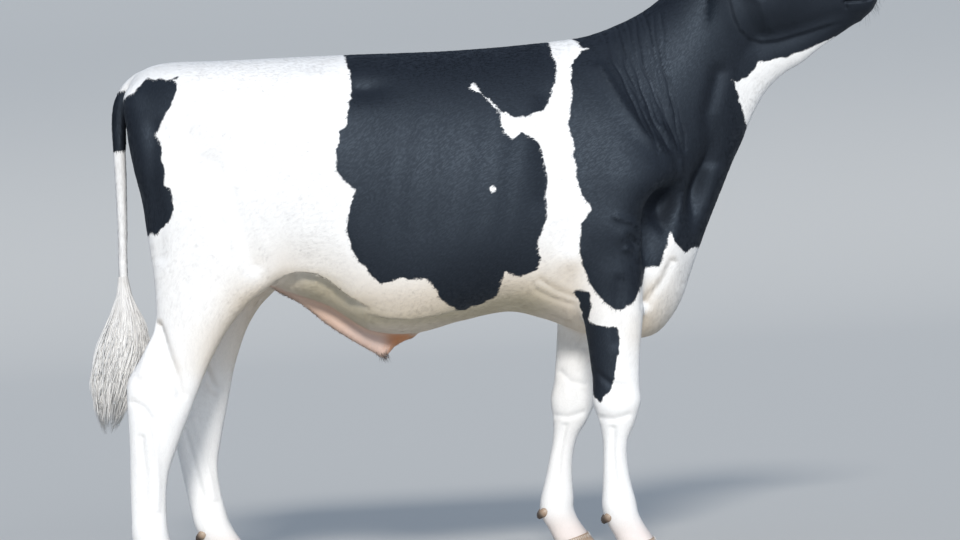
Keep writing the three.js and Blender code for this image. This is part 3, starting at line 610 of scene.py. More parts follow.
legFolds = [
    # hock: before the big tendon, the tendon, below its point; and the tendon down the shank
    ([(-0.926, 0.715), (-0.905, 0.650), (-0.886, 0.590), (-0.872, 0.530)], 0.012, -0.012),
    ([(-0.950, 0.700), (-0.958, 0.650), (-0.975, 0.590)], 0.014, 0.005),
    ([(-1.000, 0.515), (-0.975, 0.500), (-0.955, 0.470)], 0.010, -0.005),
    ([(-0.950, 0.455), (-0.945, 0.380), (-0.948, 0.300), (-0.955, 0.230)], 0.008, 0.004),
    # forearm: its front edge, and between its muscles; then beside the tendons of fore and hind shank
    ([(0.400, 0.890), (0.385, 0.820), (0.378, 0.760), (0.372, 0.700)], 0.016, -0.010),
    ([(0.300, 0.760), (0.290, 0.680), (0.285, 0.600)], 0.014, -0.005),
    ([(0.262, 0.370), (0.258, 0.300), (0.262, 0.230)], 0.009, -0.007),
    ([(-0.985, 0.420), (-0.982, 0.330), (-0.984, 0.240)], 0.010, -0.007),
    # above and below the knee, and two creases at the elbow
    ([(0.230, 0.520), (0.262, 0.490), (0.300, 0.482)], 0.009, -0.004),
    ([(0.235, 0.400), (0.268, 0.395), (0.305, 0.405)], 0.009, -0.004),
    ([(0.095, 0.775), (0.135, 0.745), (0.180, 0.725)], 0.009, -0.0025),
    ([(0.085, 0.745), (0.130, 0.722), (0.175, 0.705)], 0.009, -0.0025),
]
# edges of skin that hangs over what lies below: the line, how far each side of it comes out, how wide
ledges = [
    ([(-0.690, 0.735), (-0.667, 0.767), (-0.619, 0.800), (-0.595, 0.820), (-0.567, 0.830), (-0.530, 0.832),
      (-0.494, 0.824), (-0.460, 0.802), (-0.420, 0.765), (-0.385, 0.742), (-0.350, 0.722)],
     0.006, -0.020, 0.032),
    ([(-0.380, 0.716), (-0.320, 0.699), (-0.251, 0.690), (-0.204, 0.695), (-0.162, 0.701), (-0.100, 0.715)],
     0.004, -0.006, 0.022),
    ([(0.640, 1.560), (0.645, 1.500), (0.653, 1.450), (0.668, 1.412), (0.694, 1.387), (0.728, 1.378),
      (0.770, 1.380), (0.830, 1.394), (0.900, 1.411), (0.980, 1.430)], 0.0025, -0.0038, 0.028),
]
# hollows that are steep on one side: the deepest point, reach to the back, front, top and bottom, lean, depth
pits = [
    ((0.462, 0.945), (0.070, 0.020, 0.056, 0.062), 0.30, 0.070),  # between the shoulder, the arm and the neck
    ((0.546, 0.990), (0.038, 0.018, 0.090, 0.080), 0.29, 0.046),  # between the folds of the lower neck
    ((0.394, 0.850), (0.018, 0.036, 0.060, 0.060), 0.05, 0.028),  # in front of the arm
]
mouth = dict(line=[(1.090, 1.484), (1.062, 1.481), (1.040, 1.477), (1.000, 1.471), (0.960, 1.470)],
             width=0.0034, depth=0.008)
# loose skin of the neck in upright creases: heights of a crease's points, x of the first, to the next
wrinkles = dict(count=10, heights=(1.470, 1.340, 1.220, 1.100), first=(0.300, 0.325, 0.372, 0.419),
                spacing=(0.0175, 0.0155, 0.0125, 0.0095), width=0.0042, depth=0.0025,
                waves=((0.0035, 23, 1.7), (0.0015, 71, 4.1)), fading=(0.60, 0.40, 11, 2.4))
ribCage = dict(count=6, first=-0.30, spacing=0.072, lean=0.16, low=0.86, high=1.26, soft=0.1, depth=0.0007)
facing = (0.15, 0.5)  # forms fade where the skin turns away from the side
ledgeEdge = (-0.007, 0.006)
ledgeFade = 0.22  # the share of a ledge's line over which each end fades


def awayFromLine(x, z, line):
    near = np.full(len(x), 1e9)
    line = np.array(line, float)
    for p, q in zip(line[:-1], line[1:]):
        d = q - p
        t = np.clip(((x - p[0]) * d[0] + (z - p[1]) * d[1]) / (d @ d), 0, 1)
        near = np.minimum(near, np.hypot(x - p[0] - t * d[0], z - p[1] - t * d[1]))
    return near


# the same, but negative on the right of the line; and whether the place is beside it and not beyond its ends
def besideLine(x, z, line):
    near, beside = np.full(len(x), 1e9), np.zeros(len(x))
    line = np.array(line, float)
    whole = np.concatenate([[0], np.cumsum(np.hypot(*np.diff(line, axis=0).T))])
    for k, (p, q) in enumerate(zip(line[:-1], line[1:])):
        d = q - p
        t = np.clip(((x - p[0]) * d[0] + (z - p[1]) * d[1]) / (d @ d), 0, 1)
        away = np.hypot(x - p[0] - t * d[0], z - p[1] - t * d[1])
        side = np.sign(d[0] * (z - p[1]) - d[1] * (x - p[0]))
        closer = away < np.abs(near)
        near = np.where(closer, away * side, near)
        share = (whole[k] + t * (whole[k + 1] - whole[k])) / whole[-1]
        beside = np.where(closer, smooth(share, 0, ledgeFade) * smooth(-share, -1, ledgeFade - 1), beside)
    return near, beside


def rightLegPlace(points):
    x, z = points[:, 0] - stance["middleX"], points[:, 2]
    for end, mine in (("fore", x > -0.2), ("hind", x <= -0.2)):
        pose = stance[end]
        drop = np.maximum(0, pose["pivot"] - np.maximum(z, stance["fetlock"]))
        x = np.where(mine & (points[:, 1] > 0), x - pose["swing"] * drop, x)
    return x


def liftOf(points, normals):
    y, z = np.abs(points[:, 1]), points[:, 2]
    sideways = smooth(np.abs(normals[:, 1]), *facing)
    lift = np.zeros(len(points))
    for x, spots, lines in ((points[:, 0] - stance["middleX"], swells, folds),
                            (rightLegPlace(points), legSwells, legFolds)):
        for at, reach, high in spots:
            d = sum(((v - c) / r) ** 2 for v, c, r in zip((x, y, z), at, reach))
            lift += high * np.exp(-d)
        for line, width, high in lines:
            lift += high * np.exp(-((awayFromLine(x, z, line) / width) ** 2)) * sideways
    x = points[:, 0] - stance["middleX"]
    for line, above, below, width in ledges:
        away, beside = besideLine(x, z, line)
        step = smooth(away, *ledgeEdge)
        lift += (below + (above - below) * step) * np.exp(-((away / width) ** 2)) * beside * sideways
    for (deepX, deepZ), (back, front, top, bottom), lean, depth in pits:
        high = z - deepZ
        far = x - deepX - lean * high
        share = (far / np.where(far < 0, back, front)) ** 2 + (high / np.where(high < 0, bottom, top)) ** 2
        lift -= depth * np.exp(-share) * sideways
    level = smooth(np.hypot(normals[:, 0], normals[:, 1]), *facing)
    lift -= mouth["depth"] * np.exp(-((awayFromLine(x, z, mouth["line"]) / mouth["width"]) ** 2)) * level
    for k in range(wrinkles["count"]):
        line = [(a + k * s, h) for a, s, h in zip(wrinkles["first"], wrinkles["spacing"], wrinkles["heights"])]
        waved = x
        for high, often, start in wrinkles["waves"]:
            waved = waved + high * np.sin(often * z + start * k)
        base, change, often, start = wrinkles["fading"]
        depth = wrinkles["depth"] * (base + change * np.sin(start * k + often * z))
        lift -= depth * np.exp(-((awayFromLine(waved, z, line) / wrinkles["width"]) ** 2)) * sideways
    phase = (x - ribCage["first"] - ribCage["lean"] * (z - 1)) / ribCage["spacing"]
    low, high, soft = ribCage["low"], ribCage["high"], ribCage["soft"]
    within = smooth(z, low, low + soft) * smooth(-z, -high, soft - high)
    within *= smooth(phase, -0.5, 0.5) * smooth(-phase, 0.5 - ribCage["count"], 1.5 - ribCage["count"])
    return lift + ribCage["depth"] * np.cos(2 * np.pi * phase) * within * sideways


# the ears are drawn thick in the field; here they get their real thickness back
def thinEars(points):
    for side in (left, right):
        base, along, upper, front = earFrame(side)
        d = points - base
        t = d @ along / (along @ along)
        u = d @ upper / (ear["halfChord"] + ear["edge"])
        depth = d @ front
        middle = -earCup(t) * (1 - np.clip(u * u, 0, 1))
        near = (t > 0) & (t < 1.2) & (np.abs(u) < 1.4) & (np.abs(depth - middle) < 0.03)
        share = smooth(t, 0.10, 0.32) * near * (1 - 1 / ear["swollen"])
        points -= front * (share * (depth - middle))[:, None]


# the lids: the skin lies on the eyeball round the opening, and goes in behind it inside the opening
def openEyes(points):
    for side in (left, right):
        centre, (along, up, out) = placeOf(eye, side), frameOf(eye, side)
        d = points - centre
        far = np.linalg.norm(d, axis=1)
        chosen = np.where((far < eye["reach"]) & (d @ out > 0))[0]
        d, far = d[chosen], far[chosen]
        u, v = d @ along / far * eye["radius"], d @ up / far * eye["radius"]
        share = np.hypot(u / eye["long"], v / eye["high"])
        away = np.hypot(d @ along / eye["long"], d @ up / (eye["taller"] * eye["high"]))
        lid = mixed(eye["radius"] - eye["socket"], eye["radius"] + eye["lid"], smooth(share, *eye["lidEdge"]))
        crease = sum(deep * np.exp(-(((away - at) / wide) ** 2)) for at, wide, deep in eye["creases"])
        skinThere = np.maximum(far, eye["radius"] + eye["clear"])
        wanted = mixed(lid, skinThere, smooth(away, *eye["melting"])) - crease
        points[chosen] = centre + d / far[:, None] * wanted[:, None]


def openNostrils(points, normals):
    for side in (left, right):
        along, up, out = frameOf(nostril, side)
        nearest = np.argmin(((points - placeOf(nostril, side)) ** 2).sum(1))
        d = points - points[nearest]
        chosen = np.where((np.linalg.norm(d, axis=1) < nostril["reach"]) & (normals @ out > -0.2))[0]
        d = d[chosen]
        u, v = d @ along, d @ up
        v = v - nostril["curl"] * u * u  # bent like a comma
        share = np.hypot(u / nostril["long"], v / nostril["high"])
        inward = nostril["depth"] * (1 - smooth(share, *nostril["wall"]))
        rim = nostril["rim"] * np.exp(-(((share - nostril["rimAt"]) / nostril["rimWide"]) ** 2))
        points[chosen] += out * (rim - inward)[:, None]


skinMesh = buildSkinMesh()
points = pointsOf(skinMesh)
setPoints(skinMesh, points + normalsOf(skinMesh) * liftOf(points, normalsOf(skinMesh))[:, None])
points = pointsOf(skinMesh)
thinEars(points)
openNostrils(points, normalsOf(skinMesh))
openEyes(points)
setPoints(skinMesh, points)
skin = bpy.data.objects.new("skin", skinMesh)
bpy.context.scene.collection.objects.link(skin)
fleshNodes = ["trunk", "neck", "head", "tail", "sheath", "scrotum", "ear_left", "ear_right"]
fleshNodes += [f"{end}leg_{part}_{side}" for end in ("fore", "hind") for part in ("upper", "lower")
               for side in ("left", "right")]
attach(skin, "root")
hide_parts(*fleshNodes)
print("skin shaped:", len(points), "points,", len(skinMesh.polygons), "faces")


# black patches in the side view, x and z in the frame of the lofts; both sides meet at the same x on the back
buttockRight = [
    (-1.100, 1.320), (-0.985, 1.322), (-0.958, 1.334), (-0.942, 1.356), (-0.924, 1.371), (-0.908, 1.374),
    (-0.892, 1.371), (-0.869, 1.367), (-0.832, 1.371), (-0.848, 1.362), (-0.840, 1.352), (-0.837, 1.335),
    (-0.841, 1.323), (-0.852, 1.305), (-0.858, 1.289), (-0.875, 1.270), (-0.881, 1.247), (-0.889, 1.230),
    (-0.900, 1.223), (-0.890, 1.212), (-0.886, 1.193), (-0.883, 1.170), (-0.885, 1.143), (-0.881, 1.120),
    (-0.879, 1.083), (-0.866, 1.074), (-0.862, 1.055), (-0.859, 1.027), (-0.862, 1.005), (-0.873, 0.989),
    (-0.888, 0.979), (-0.905, 0.964), (-0.914, 0.959), (-0.930, 0.965), (-0.945, 0.950), (-1.100, 0.945),
]
buttockLeft = [
    (-1.100, 1.240), (-0.985, 1.318), (-0.915, 1.330), (-0.880, 1.290), (-0.905, 1.235), (-0.950, 1.190),
    (-1.100, 1.160),
]
saddleRight = [
    (-0.394, 1.600), (-0.391, 1.400), (-0.376, 1.335), (-0.378, 1.285), (-0.391, 1.232), (-0.390, 1.215),
    (-0.411, 1.198), (-0.418, 1.155), (-0.427, 1.095), (-0.405, 1.062), (-0.376, 1.040), (-0.389, 1.012),
    (-0.400, 0.965), (-0.410, 0.938), (-0.397, 0.895), (-0.380, 0.852), (-0.364, 0.840), (-0.352, 0.808),
    (-0.325, 0.789), (-0.270, 0.802), (-0.202, 0.796), (-0.180, 0.768), (-0.170, 0.738), (-0.118, 0.705),
    (-0.065, 0.720), (-0.020, 0.742), (0.002, 0.800), (0.040, 0.786), (0.085, 0.802), (0.096, 0.830),
    (0.091, 0.870), (0.118, 0.935), (0.121, 0.990), (0.130, 1.050), (0.118, 1.112), (0.098, 1.150),
    (0.066, 1.171), (0.040, 1.147), (0.026, 1.170), (0.010, 1.222), (-0.020, 1.260), (-0.062, 1.293),
    (-0.053, 1.307), (-0.018, 1.264), (0.022, 1.224), (0.050, 1.209), (0.092, 1.207), (0.131, 1.222),
    (0.152, 1.262), (0.174, 1.320), (0.172, 1.350), (0.160, 1.400), (0.160, 1.600),
]
saddleLeft = [
    (-0.394, 1.600), (-0.391, 1.400), (-0.420, 1.330), (-0.480, 1.270), (-0.505, 1.190), (-0.470, 1.120),
    (-0.485, 1.030), (-0.440, 0.960), (-0.370, 0.915), (-0.330, 0.840), (-0.250, 0.800), (-0.170, 0.830),
    (-0.120, 0.905), (-0.050, 0.925), (0.010, 0.985), (0.020, 1.080), (0.070, 1.150), (0.080, 1.230),
    (0.130, 1.300), (0.160, 1.400), (0.160, 1.600),
]
shoulderRight = [
    (0.228, 1.600), (0.228, 1.410), (0.248, 1.390), (0.266, 1.387), (0.240, 1.380), (0.216, 1.345),
    (0.209, 1.300), (0.208, 1.250), (0.194, 1.190), (0.202, 1.120), (0.205, 1.045), (0.220, 0.985),
    (0.235, 0.952), (0.212, 0.915), (0.201, 0.862), (0.208, 0.805), (0.228, 0.748), (0.256, 0.712),
    (0.281, 0.688), (0.310, 0.685), (0.338, 0.702), (0.362, 0.745), (0.380, 0.790), (0.412, 0.793),
    (0.436, 0.840), (0.450, 0.882), (0.462, 0.856), (0.488, 0.826), (0.530, 0.838), (0.700, 0.860),
    (0.860, 1.050), (0.676, 1.149), (0.670, 1.190), (0.655, 1.245), (0.639, 1.286), (0.654, 1.274),
    (0.685, 1.291), (0.718, 1.324), (0.762, 1.332), (0.828, 1.347), (0.888, 1.362), (0.930, 1.380),
    (0.985, 1.402), (1.200, 1.420), (1.200, 1.900), (0.228, 1.900),
]
shoulderLeft = [
    (0.228, 1.600), (0.228, 1.410), (0.250, 1.330), (0.215, 1.250), (0.190, 1.160), (0.225, 1.060),
    (0.205, 0.980), (0.235, 0.890), (0.270, 0.820), (0.330, 0.760), (0.392, 0.775), (0.440, 0.830),
    (0.500, 0.815), (0.545, 0.850), (0.700, 0.860), (0.860, 1.050), (0.676, 1.149), (0.664, 1.200),
    (0.640, 1.262), (0.690, 1.315), (0.770, 1.345), (0.860, 1.360), (0.985, 1.402), (1.200, 1.420),
    (1.200, 1.900), (0.228, 1.900),
]
forearmRight = [
    (0.182, 0.744), (0.204, 0.746), (0.221, 0.732), (0.223, 0.700), (0.214, 0.660), (0.246, 0.645),
    (0.288, 0.641), (0.292, 0.590), (0.281, 0.526), (0.262, 0.478), (0.233, 0.444), (0.218, 0.462),
    (0.213, 0.520), (0.206, 0.600), (0.197, 0.680), (0.188, 0.720),
]
thighLeft = [
    (-0.655, 1.175), (-0.610, 1.180), (-0.582, 1.212), (-0.550, 1.170), (-0.565, 1.130), (-0.560, 1.085),
    (-0.600, 1.095), (-0.640, 1.070), (-0.668, 1.118),
]
tailBlack = dict(low=1.190, high=1.350)
barrelSpot = dict(x=-0.018, z=1.018, radius=0.008)
star = dict(x=0.745, radius=0.030, long=1.5, power=1.4, slope=4, ragged=0.004)
markings = dict(reach=0.06, topBlend=0.030, armOutside=0.150, wobble=0.0032, leftWave=0.0045, rearWave=0.011,
                cuts=2, fineness=(55, 70, 95, 130, 180, 260))
waves = [(dice.normal(0, 1, 3) * often, dice.uniform(0, 7), 40 / (often + 40))
         for often in markings["fineness"]]


# how deep inside an outline a place lies, in metres; negative outside
def depthIn(x, z, outline):
    corners = np.array(outline)
    inside = np.zeros(len(x), bool)
    for (px, pz), (qx, qz) in zip(corners, np.roll(corners, -1, 0)):
        if pz != qz:
            inside ^= ((pz > z) != (qz > z)) & (x < (qx - px) * (z - pz) / (qz - pz) + px)
    away = awayFromLine(x, z, np.concatenate([corners, corners[:1]]))
    return np.where(inside, away, -away)


# the same outline with its corners cut off
def rounded(outline):
    corners = np.array(outline)
    for _ in range(markings["cuts"]):
        ahead = np.roll(corners, -1, 0)
        corners = np.stack([0.75 * corners + 0.25 * ahead, 0.25 * corners + 0.75 * ahead], 1).reshape(-1, 2)
    return corners


def patchDepth(points):
    x, y, z = points[:, 0] - stance["middleX"], points[:, 1], points[:, 2]
    onRight = np.max([depthIn(x, z, p) for p in (buttockRight, saddleRight, shoulderRight)], 0)
    onLeft = np.max([depthIn(x, z, rounded(p)) for p in (buttockLeft, saddleLeft, shoulderLeft, thighLeft)], 0)
    onLeft += markings["leftWave"] * (np.sin(33 * x + 27 * z) + np.sin(41 * z - 36 * x + 2.0))
    across = np.sin(47 * y + 2.0) + 0.6 * np.sin(113 * y + 0.5)
    onLeft += markings["rearWave"] * across * smooth(-x, 0.90, 0.96)
    onRight = np.minimum(onRight, np.hypot(x - barrelSpot["x"], z - barrelSpot["z"]) - barrelSpot["radius"])
    depth = mixed(onRight, onLeft, smooth(y, -markings["topBlend"], markings["topBlend"]))
    power = star["power"]
    offStar = (np.abs((x - star["x"]) / star["long"]) ** power + np.abs(y * star["long"]) ** power
               - star["radius"] ** power) * star["slope"] + star["ragged"] * np.sin(190 * x + 60 * y)
    onForehead = (z > 1.62) & (x > 0.66)
    depth = np.where(onForehead, np.minimum(depth, offStar), depth)
    arm = np.minimum(depthIn(x, z, forearmRight), (-y - markings["armOutside"]) * 0.8)
    depth = np.maximum(depth, arm)
    onTail = smooth(-x, 0.940, 0.975) * (np.abs(y) < 0.045)
    tail = np.minimum(z - tailBlack["low"], tailBlack["high"] - z)
    depth = mixed(depth, np.maximum(tail, np.minimum(depth, -0.02)), onTail)
    for way, start, share in waves:
        depth += markings["wobble"] * share * np.sin(points @ way + start)
    return depth.clip(-markings["reach"], markings["reach"])


def rgb(text):
    value = np.array([int(text[i:i + 2], 16) / 255 for i in (0, 2, 4)])
    return np.where(value <= 0.04045, value / 12.92, ((value + 0.055) / 1.055) ** 2.4)


# cream is both a tint of some hair and painted shade under the belly; olive is painted shade under the flank's
# fold; the lighter black is painted sheen
coatColours = dict(
    white=rgb("f8f7f5"), creamAndShade=rgb("dcc7a8"), oliveShade=rgb("b3a67c"), pink=rgb("d8b09b"),
    black=rgb("0a0b11"), blackPaintedSheen=rgb("222530"), blackDeep=rgb("05060a"), muzzle=rgb("141316"),
    sheathBrown=rgb("c9834a"), sheathTip=rgb("4d3524"),
)
sheathLine = [(-0.600, 0.790), (-0.465, 0.715), (-0.335, 0.640)]


def lightColour(points, normals):
    x, y, z = points[:, 0] - stance["middleX"], np.abs(points[:, 1]), points[:, 2]
    colour = np.tile(coatColours["white"], (len(x), 1))

    def paint(name, share):
        colour[:] = mixed(colour, coatColours[name], share[:, None].clip(0, 1))

    under = smooth(-normals[:, 2], -0.15, 0.75)
    # painted shade: white that faces down under the belly and brisket is tinted cream
    paint("creamAndShade", 0.75 * under * smooth(z, 0.50, 0.62) * smooth(-z, -1.0, -0.75) * smooth(-x, -0.55, -0.35))
    # painted shade: olive on the tucked-in skin under the fold of the flank
    flankShade = smooth(z, 0.66, 0.70) * smooth(-z, -0.86, -0.80)
    flankShade = flankShade * smooth(-x, -0.18, -0.05) * smooth(x, -0.62, -0.50)
    paint("oliveShade", 0.55 * flankShade * smooth(-y, -0.24, -0.16))
    paint("pink", 0.35 * smooth(-z, -0.16, -0.08))  # pasterns
    scrotum = np.exp(-(((x + 0.850) / 0.055) ** 2 + ((z - 0.67) / 0.10) ** 2 + (y / 0.07) ** 2))
    paint("pink", 0.75 * scrotum)
    paint("pink", 0.75 * (smooth(awayFromLine(x, z, sheathLine), 0.075, 0.045) * smooth(-y, -0.07, -0.04)))
    sheathEnd = np.exp(-(((x + 0.285) / 0.045) ** 4 + ((z - 0.636) / 0.020) ** 4))
    paint("sheathBrown", 0.95 * sheathEnd * smooth(-y, -0.06, -0.03))
    return colour


def darkColour(points):
    x, z = points[:, 0] - stance["middleX"], points[:, 2]
    onMuzzle = smooth(x + 0.35 * (z - 1.5), 1.012, 1.030)
    return mixed(np.tile(coatColours["black"], (len(x), 1)), coatColours["muzzle"], onMuzzle[:, None])


# where there is no hair: the pad of the nose, the end of the sheath, the lids
def bareness(points):
    x, y, z = points[:, 0] - stance["middleX"], np.abs(points[:, 1]), points[:, 2]
    nose = smooth(x - 0.32 * y + 0.30 * (z - 1.53), 1.044, 1.054) * smooth(z, 1.485, 1.492)
    for side in (left, right):
        away = np.linalg.norm(points - placeOf(nostril, side), axis=1)
        nose = np.maximum(nose, np.exp(-(away / 0.0235) ** 6))
    sheath = np.exp(-(((x + 0.322) / 0.030) ** 2 + ((z - 0.60) / 0.020) ** 2 + (y / 0.03) ** 2))
    lids = np.zeros(len(x))
    for side in (left, right):
        d = points - placeOf(eye, side)
        along, up, out = frameOf(eye, side)
        lids = np.maximum(lids, np.exp(-((d @ along) / 0.026) ** 2 - ((d @ up) / 0.019) ** 2) * (d @ out > 0))
    return np.maximum.reduce([nose, sheath, lids])


# the lie of the coat: back and down over the body, down the legs, from the nose up the face, down the tail
def lieOfCoat(points, normals):
    x, y, z = points[:, 0] - stance["middleX"], points[:, 1], points[:, 2]
    outwards = 0.15 * np.sign(y) * smooth(np.abs(y), 0, 0.1)
    way = np.stack([np.full(len(x), -0.85), outwards, np.full(len(x), -0.55)], 1)

    def turn(share, towards):
        way[:] = mixed(way, np.broadcast_to(towards, way.shape), share[:, None].clip(0, 1))

    onLegs = smooth(-z, -0.90, -0.62) * (1 - np.exp(-((x + 0.1) / 0.28) ** 2))
    turn(onLegs, (-0.18, 0, -1))
    onNeck = smooth(x, 0.30, 0.55) * smooth(z, 0.80, 1.0)
    turn(onNeck, (-0.62, 0, -0.80))
    onButtocks = smooth(-x, 0.80, 0.93) * smooth(z, 0.85, 1.0)
    turn(onButtocks, (-0.15, 0, -1))
    onFace = smooth(x, 0.72, 0.85) * smooth(z, 1.38, 1.45)
    turn(onFace, (-0.95, 0, 0.30))
    onCheek = smooth(x, 0.62, 0.70) * smooth(-x, -0.86, -0.76)
    onCheek = onCheek * smooth(-z, -1.60, -1.48) * smooth(z, 1.33, 1.40)
    turn(onCheek, (-0.75, 0, -0.62))
    for side in (left, right):
        onEar = smooth(side * y, 0.105, 0.130) * (z > 1.48) * (x < 0.70) * (x > 0.5)
        turn(onEar, unit(earFrame(side)[1]))
    onTail = smooth(-x, 0.985, 1.0) * (np.abs(y) < 0.05)
    turn(onTail, (0, 0, -1))
    swirl = 0.10 * np.sin(9 * x + 4 * y + 1.3) + 0.08 * np.sin(13 * z - 7 * x)
    way += np.stack([swirl * way[:, 2], 0 * swirl, -swirl * way[:, 0]], 1)
    way -= normals * (way * normals).sum(1)[:, None]
    return unit(way)


def setFloat(mesh, name, values):
    layer = mesh.attributes.new(name, "FLOAT", "POINT")
    layer.data.foreach_set("value", np.ascontiguousarray(values, np.float32).ravel())


def setVector(mesh, name, values):
    layer = mesh.attributes.new(name, "FLOAT_VECTOR", "POINT")
    layer.data.foreach_set("vector", np.ascontiguousarray(values, np.float32).ravel())


# all that skin and coat share: the marks, the colours, the lie of the coat, and places drawn out along it
def coatFields(points, normals):
    way = lieOfCoat(points, normals)
    local = points - np.array([0, 0, 1.0])
    return {"patch": patchDepth(points)[:, None], "bare": bareness(points)[:, None],
            "light": lightColour(points, normals), "dark": darkColour(points), "way": way,
            "strand": local - 0.90 * (local * way).sum(1)[:, None] * way}


def setFields(mesh, fields, repeats=1):
    setFloat(mesh, "patch", np.repeat(fields["patch"], repeats, 0))
    for key in ("light", "dark", "strand"):
        setVector(mesh, key, np.repeat(fields[key], repeats, 0))


# short ways to write node materials
def newMaterial(name):
    material = bpy.data.materials.new(name)
    material.use_nodes = True
    tree = material.node_tree
    return material, tree, tree.nodes["Principled BSDF"]


def node(tree, kind, inputs=None, **settings):
    made = tree.nodes.new(kind)
    for key, value in settings.items():
        setattr(made, key, value)
    for key, value in (inputs or {}).items():
        if isinstance(value, bpy.types.NodeSocket):
            tree.links.new(value, made.inputs[key])
        else:
            made.inputs[key].default_value = value
    return made


def attribute(tree, name, output="Fac"):
    return node(tree, "ShaderNodeAttribute", attribute_name=name).outputs[output]


def sumNode(tree, operation, a, b=0.0):
    return node(tree, "ShaderNodeMath", {0: a, 1: b}, operation=operation).outputs[0]


def mapRange(tree, value, lo, hi, first=0.0, last=1.0):
    ends = {"Value": value, "From Min": lo, "From Max": hi, "To Min": first, "To Max": last}
    return node(tree, "ShaderNodeMapRange", ends, interpolation_type="SMOOTHSTEP").outputs[0]


def blend(tree, share, a, b, mode="MIX"):
    made = node(tree, "ShaderNodeMix", data_type="RGBA", blend_type=mode)
    for key, value in ((0, share), (6, a), (7, b)):
        if isinstance(value, bpy.types.NodeSocket):
            tree.links.new(value, made.inputs[key])
        else:
            made.inputs[key].default_value = value
    return made.outputs[2]


def noise(tree, vector, scale, detail=3.0, rough=0.55):
    inputs = {"Vector": vector, "Scale": scale, "Detail": detail, "Roughness": rough}
    return node(tree, "ShaderNodeTexNoise", inputs, noise_dimensions="3D").outputs[0]


hairFinish = dict(edge=0.0022, ragged=0.0075, streak=0.16, stain=0.06, sheenStreak=0.25, darkPatch=0.45,
                  skinBump=0.35, bumpDeep=0.0012, skinRough=0.62, noseRough=0.32, whiteRough=0.62,
                  tuftRough=0.57, tuftShine=0.75, skinShine=0.62, shineTint=(0.64, 0.80, 1.0, 1),
                  streakTint=(0.52, 0.49, 0.47, 1), stainTint=(0.62, 0.56, 0.50, 1))


# colour of hair or skin: light and dark from the marks, ragged at their edges, streaked along the coat; the
# black's lighter streaks are painted sheen
def coatColour(tree, streakScale):
    place = node(tree, "ShaderNodeNewGeometry").outputs["Position"]
    strand = attribute(tree, "strand", "Vector")
    ragged = sumNode(tree, "SUBTRACT", noise(tree, place, 45.0, 4.0, 0.65), 0.5)
    fine = sumNode(tree, "SUBTRACT", noise(tree, strand, 260.0, 2.0), 0.5)
    ragged = sumNode(tree, "MULTIPLY", ragged, hairFinish["ragged"] * 2)
    fine = sumNode(tree, "MULTIPLY", fine, hairFinish["ragged"])
    edge = sumNode(tree, "ADD", sumNode(tree, "ADD", attribute(tree, "patch"), ragged), fine)
    isDark = mapRange(tree, edge, -hairFinish["edge"], hairFinish["edge"])
    streaks = noise(tree, strand, streakScale, 3.0, 0.6)
    broad = noise(tree, place, 5.0, 3.0, 0.5)
    light = blend(tree, mapRange(tree, streaks, 0.35, 0.75, 0.0, hairFinish["streak"]),
                  attribute(tree, "light", "Color"), hairFinish["streakTint"])
    light = blend(tree, mapRange(tree, broad, 0.45, 0.75, 0.0, hairFinish["stain"]),
                  light, hairFinish["stainTint"])
    # painted sheen: lighter bluish streaks along the black hair
    dark = blend(tree, mapRange(tree, streaks, 0.45, 0.80, 0.0, hairFinish["sheenStreak"]),
                 attribute(tree, "dark", "Color"), (*coatColours["blackPaintedSheen"], 1))
    dark = blend(tree, mapRange(tree, broad, 0.45, 0.75, 0.0, hairFinish["darkPatch"]),
                 dark, (*coatColours["blackDeep"], 1))
    return blend(tree, isDark, light, dark), isDark


def addBump(tree, shader, height, strength, distance):
    bump = node(tree, "ShaderNodeBump", {"Height": height, "Strength": strength, "Distance": distance})
    tree.links.new(bump.outputs[0], shader.inputs["Normal"])


def setShine(shader, level):
    shader.inputs["Specular IOR Level"].default_value = level
    shader.inputs["Specular Tint"].default_value = hairFinish["shineTint"]


def skinMaterial():
    material, tree, shader = newMaterial("hide")
    colour = coatColour(tree, 110.0)[0]
    place = node(tree, "ShaderNodeNewGeometry").outputs["Position"]
    bare = mapRange(tree, attribute(tree, "bare"), 0.25, 0.75)
    tree.links.new(colour, shader.inputs["Base Color"])
    rough = mapRange(tree, bare, 0.0, 1.0, hairFinish["skinRough"], hairFinish["noseRough"])
    tree.links.new(rough, shader.inputs["Roughness"])
    pebbles = node(tree, "ShaderNodeTexVoronoi", {"Vector": place, "Scale": 210.0},
                   feature="SMOOTH_F1").outputs[0]
    hairs = noise(tree, attribute(tree, "strand", "Vector"), 420.0, 2.0, 0.6)
    height = node(tree, "ShaderNodeMix", {0: bare, 2: hairs, 3: sumNode(tree, "MULTIPLY", pebbles, -1.6)},
                  data_type="FLOAT").outputs[0]
    addBump(tree, shader, height, hairFinish["skinBump"], hairFinish["bumpDeep"])
    setShine(shader, hairFinish["skinShine"])
    return material


def tuftMaterial(name, streakScale=170.0):
    material, tree, shader = newMaterial(name)
    colour, isDark = coatColour(tree, streakScale)
    shade = attribute(tree, "shade")
    grey = node(tree, "ShaderNodeCombineColor", {0: shade, 1: shade, 2: shade}).outputs[0]
    tree.links.new(blend(tree, 1.0, colour, grey, "MULTIPLY"), shader.inputs["Base Color"])
    rough = mapRange(tree, isDark, 0.0, 1.0, hairFinish["whiteRough"], hairFinish["tuftRough"])
    tree.links.new(rough, shader.inputs["Roughness"])
    setShine(shader, hairFinish["tuftShine"])
    return material


skinPoints, skinNormals = pointsOf(skinMesh), normalsOf(skinMesh)
skinFields = coatFields(skinPoints, skinNormals)
setFields(skinMesh, skinFields)
setFloat(skinMesh, "bare", skinFields["bare"])
skinMesh.materials.append(skinMaterial())
print("skin painted")


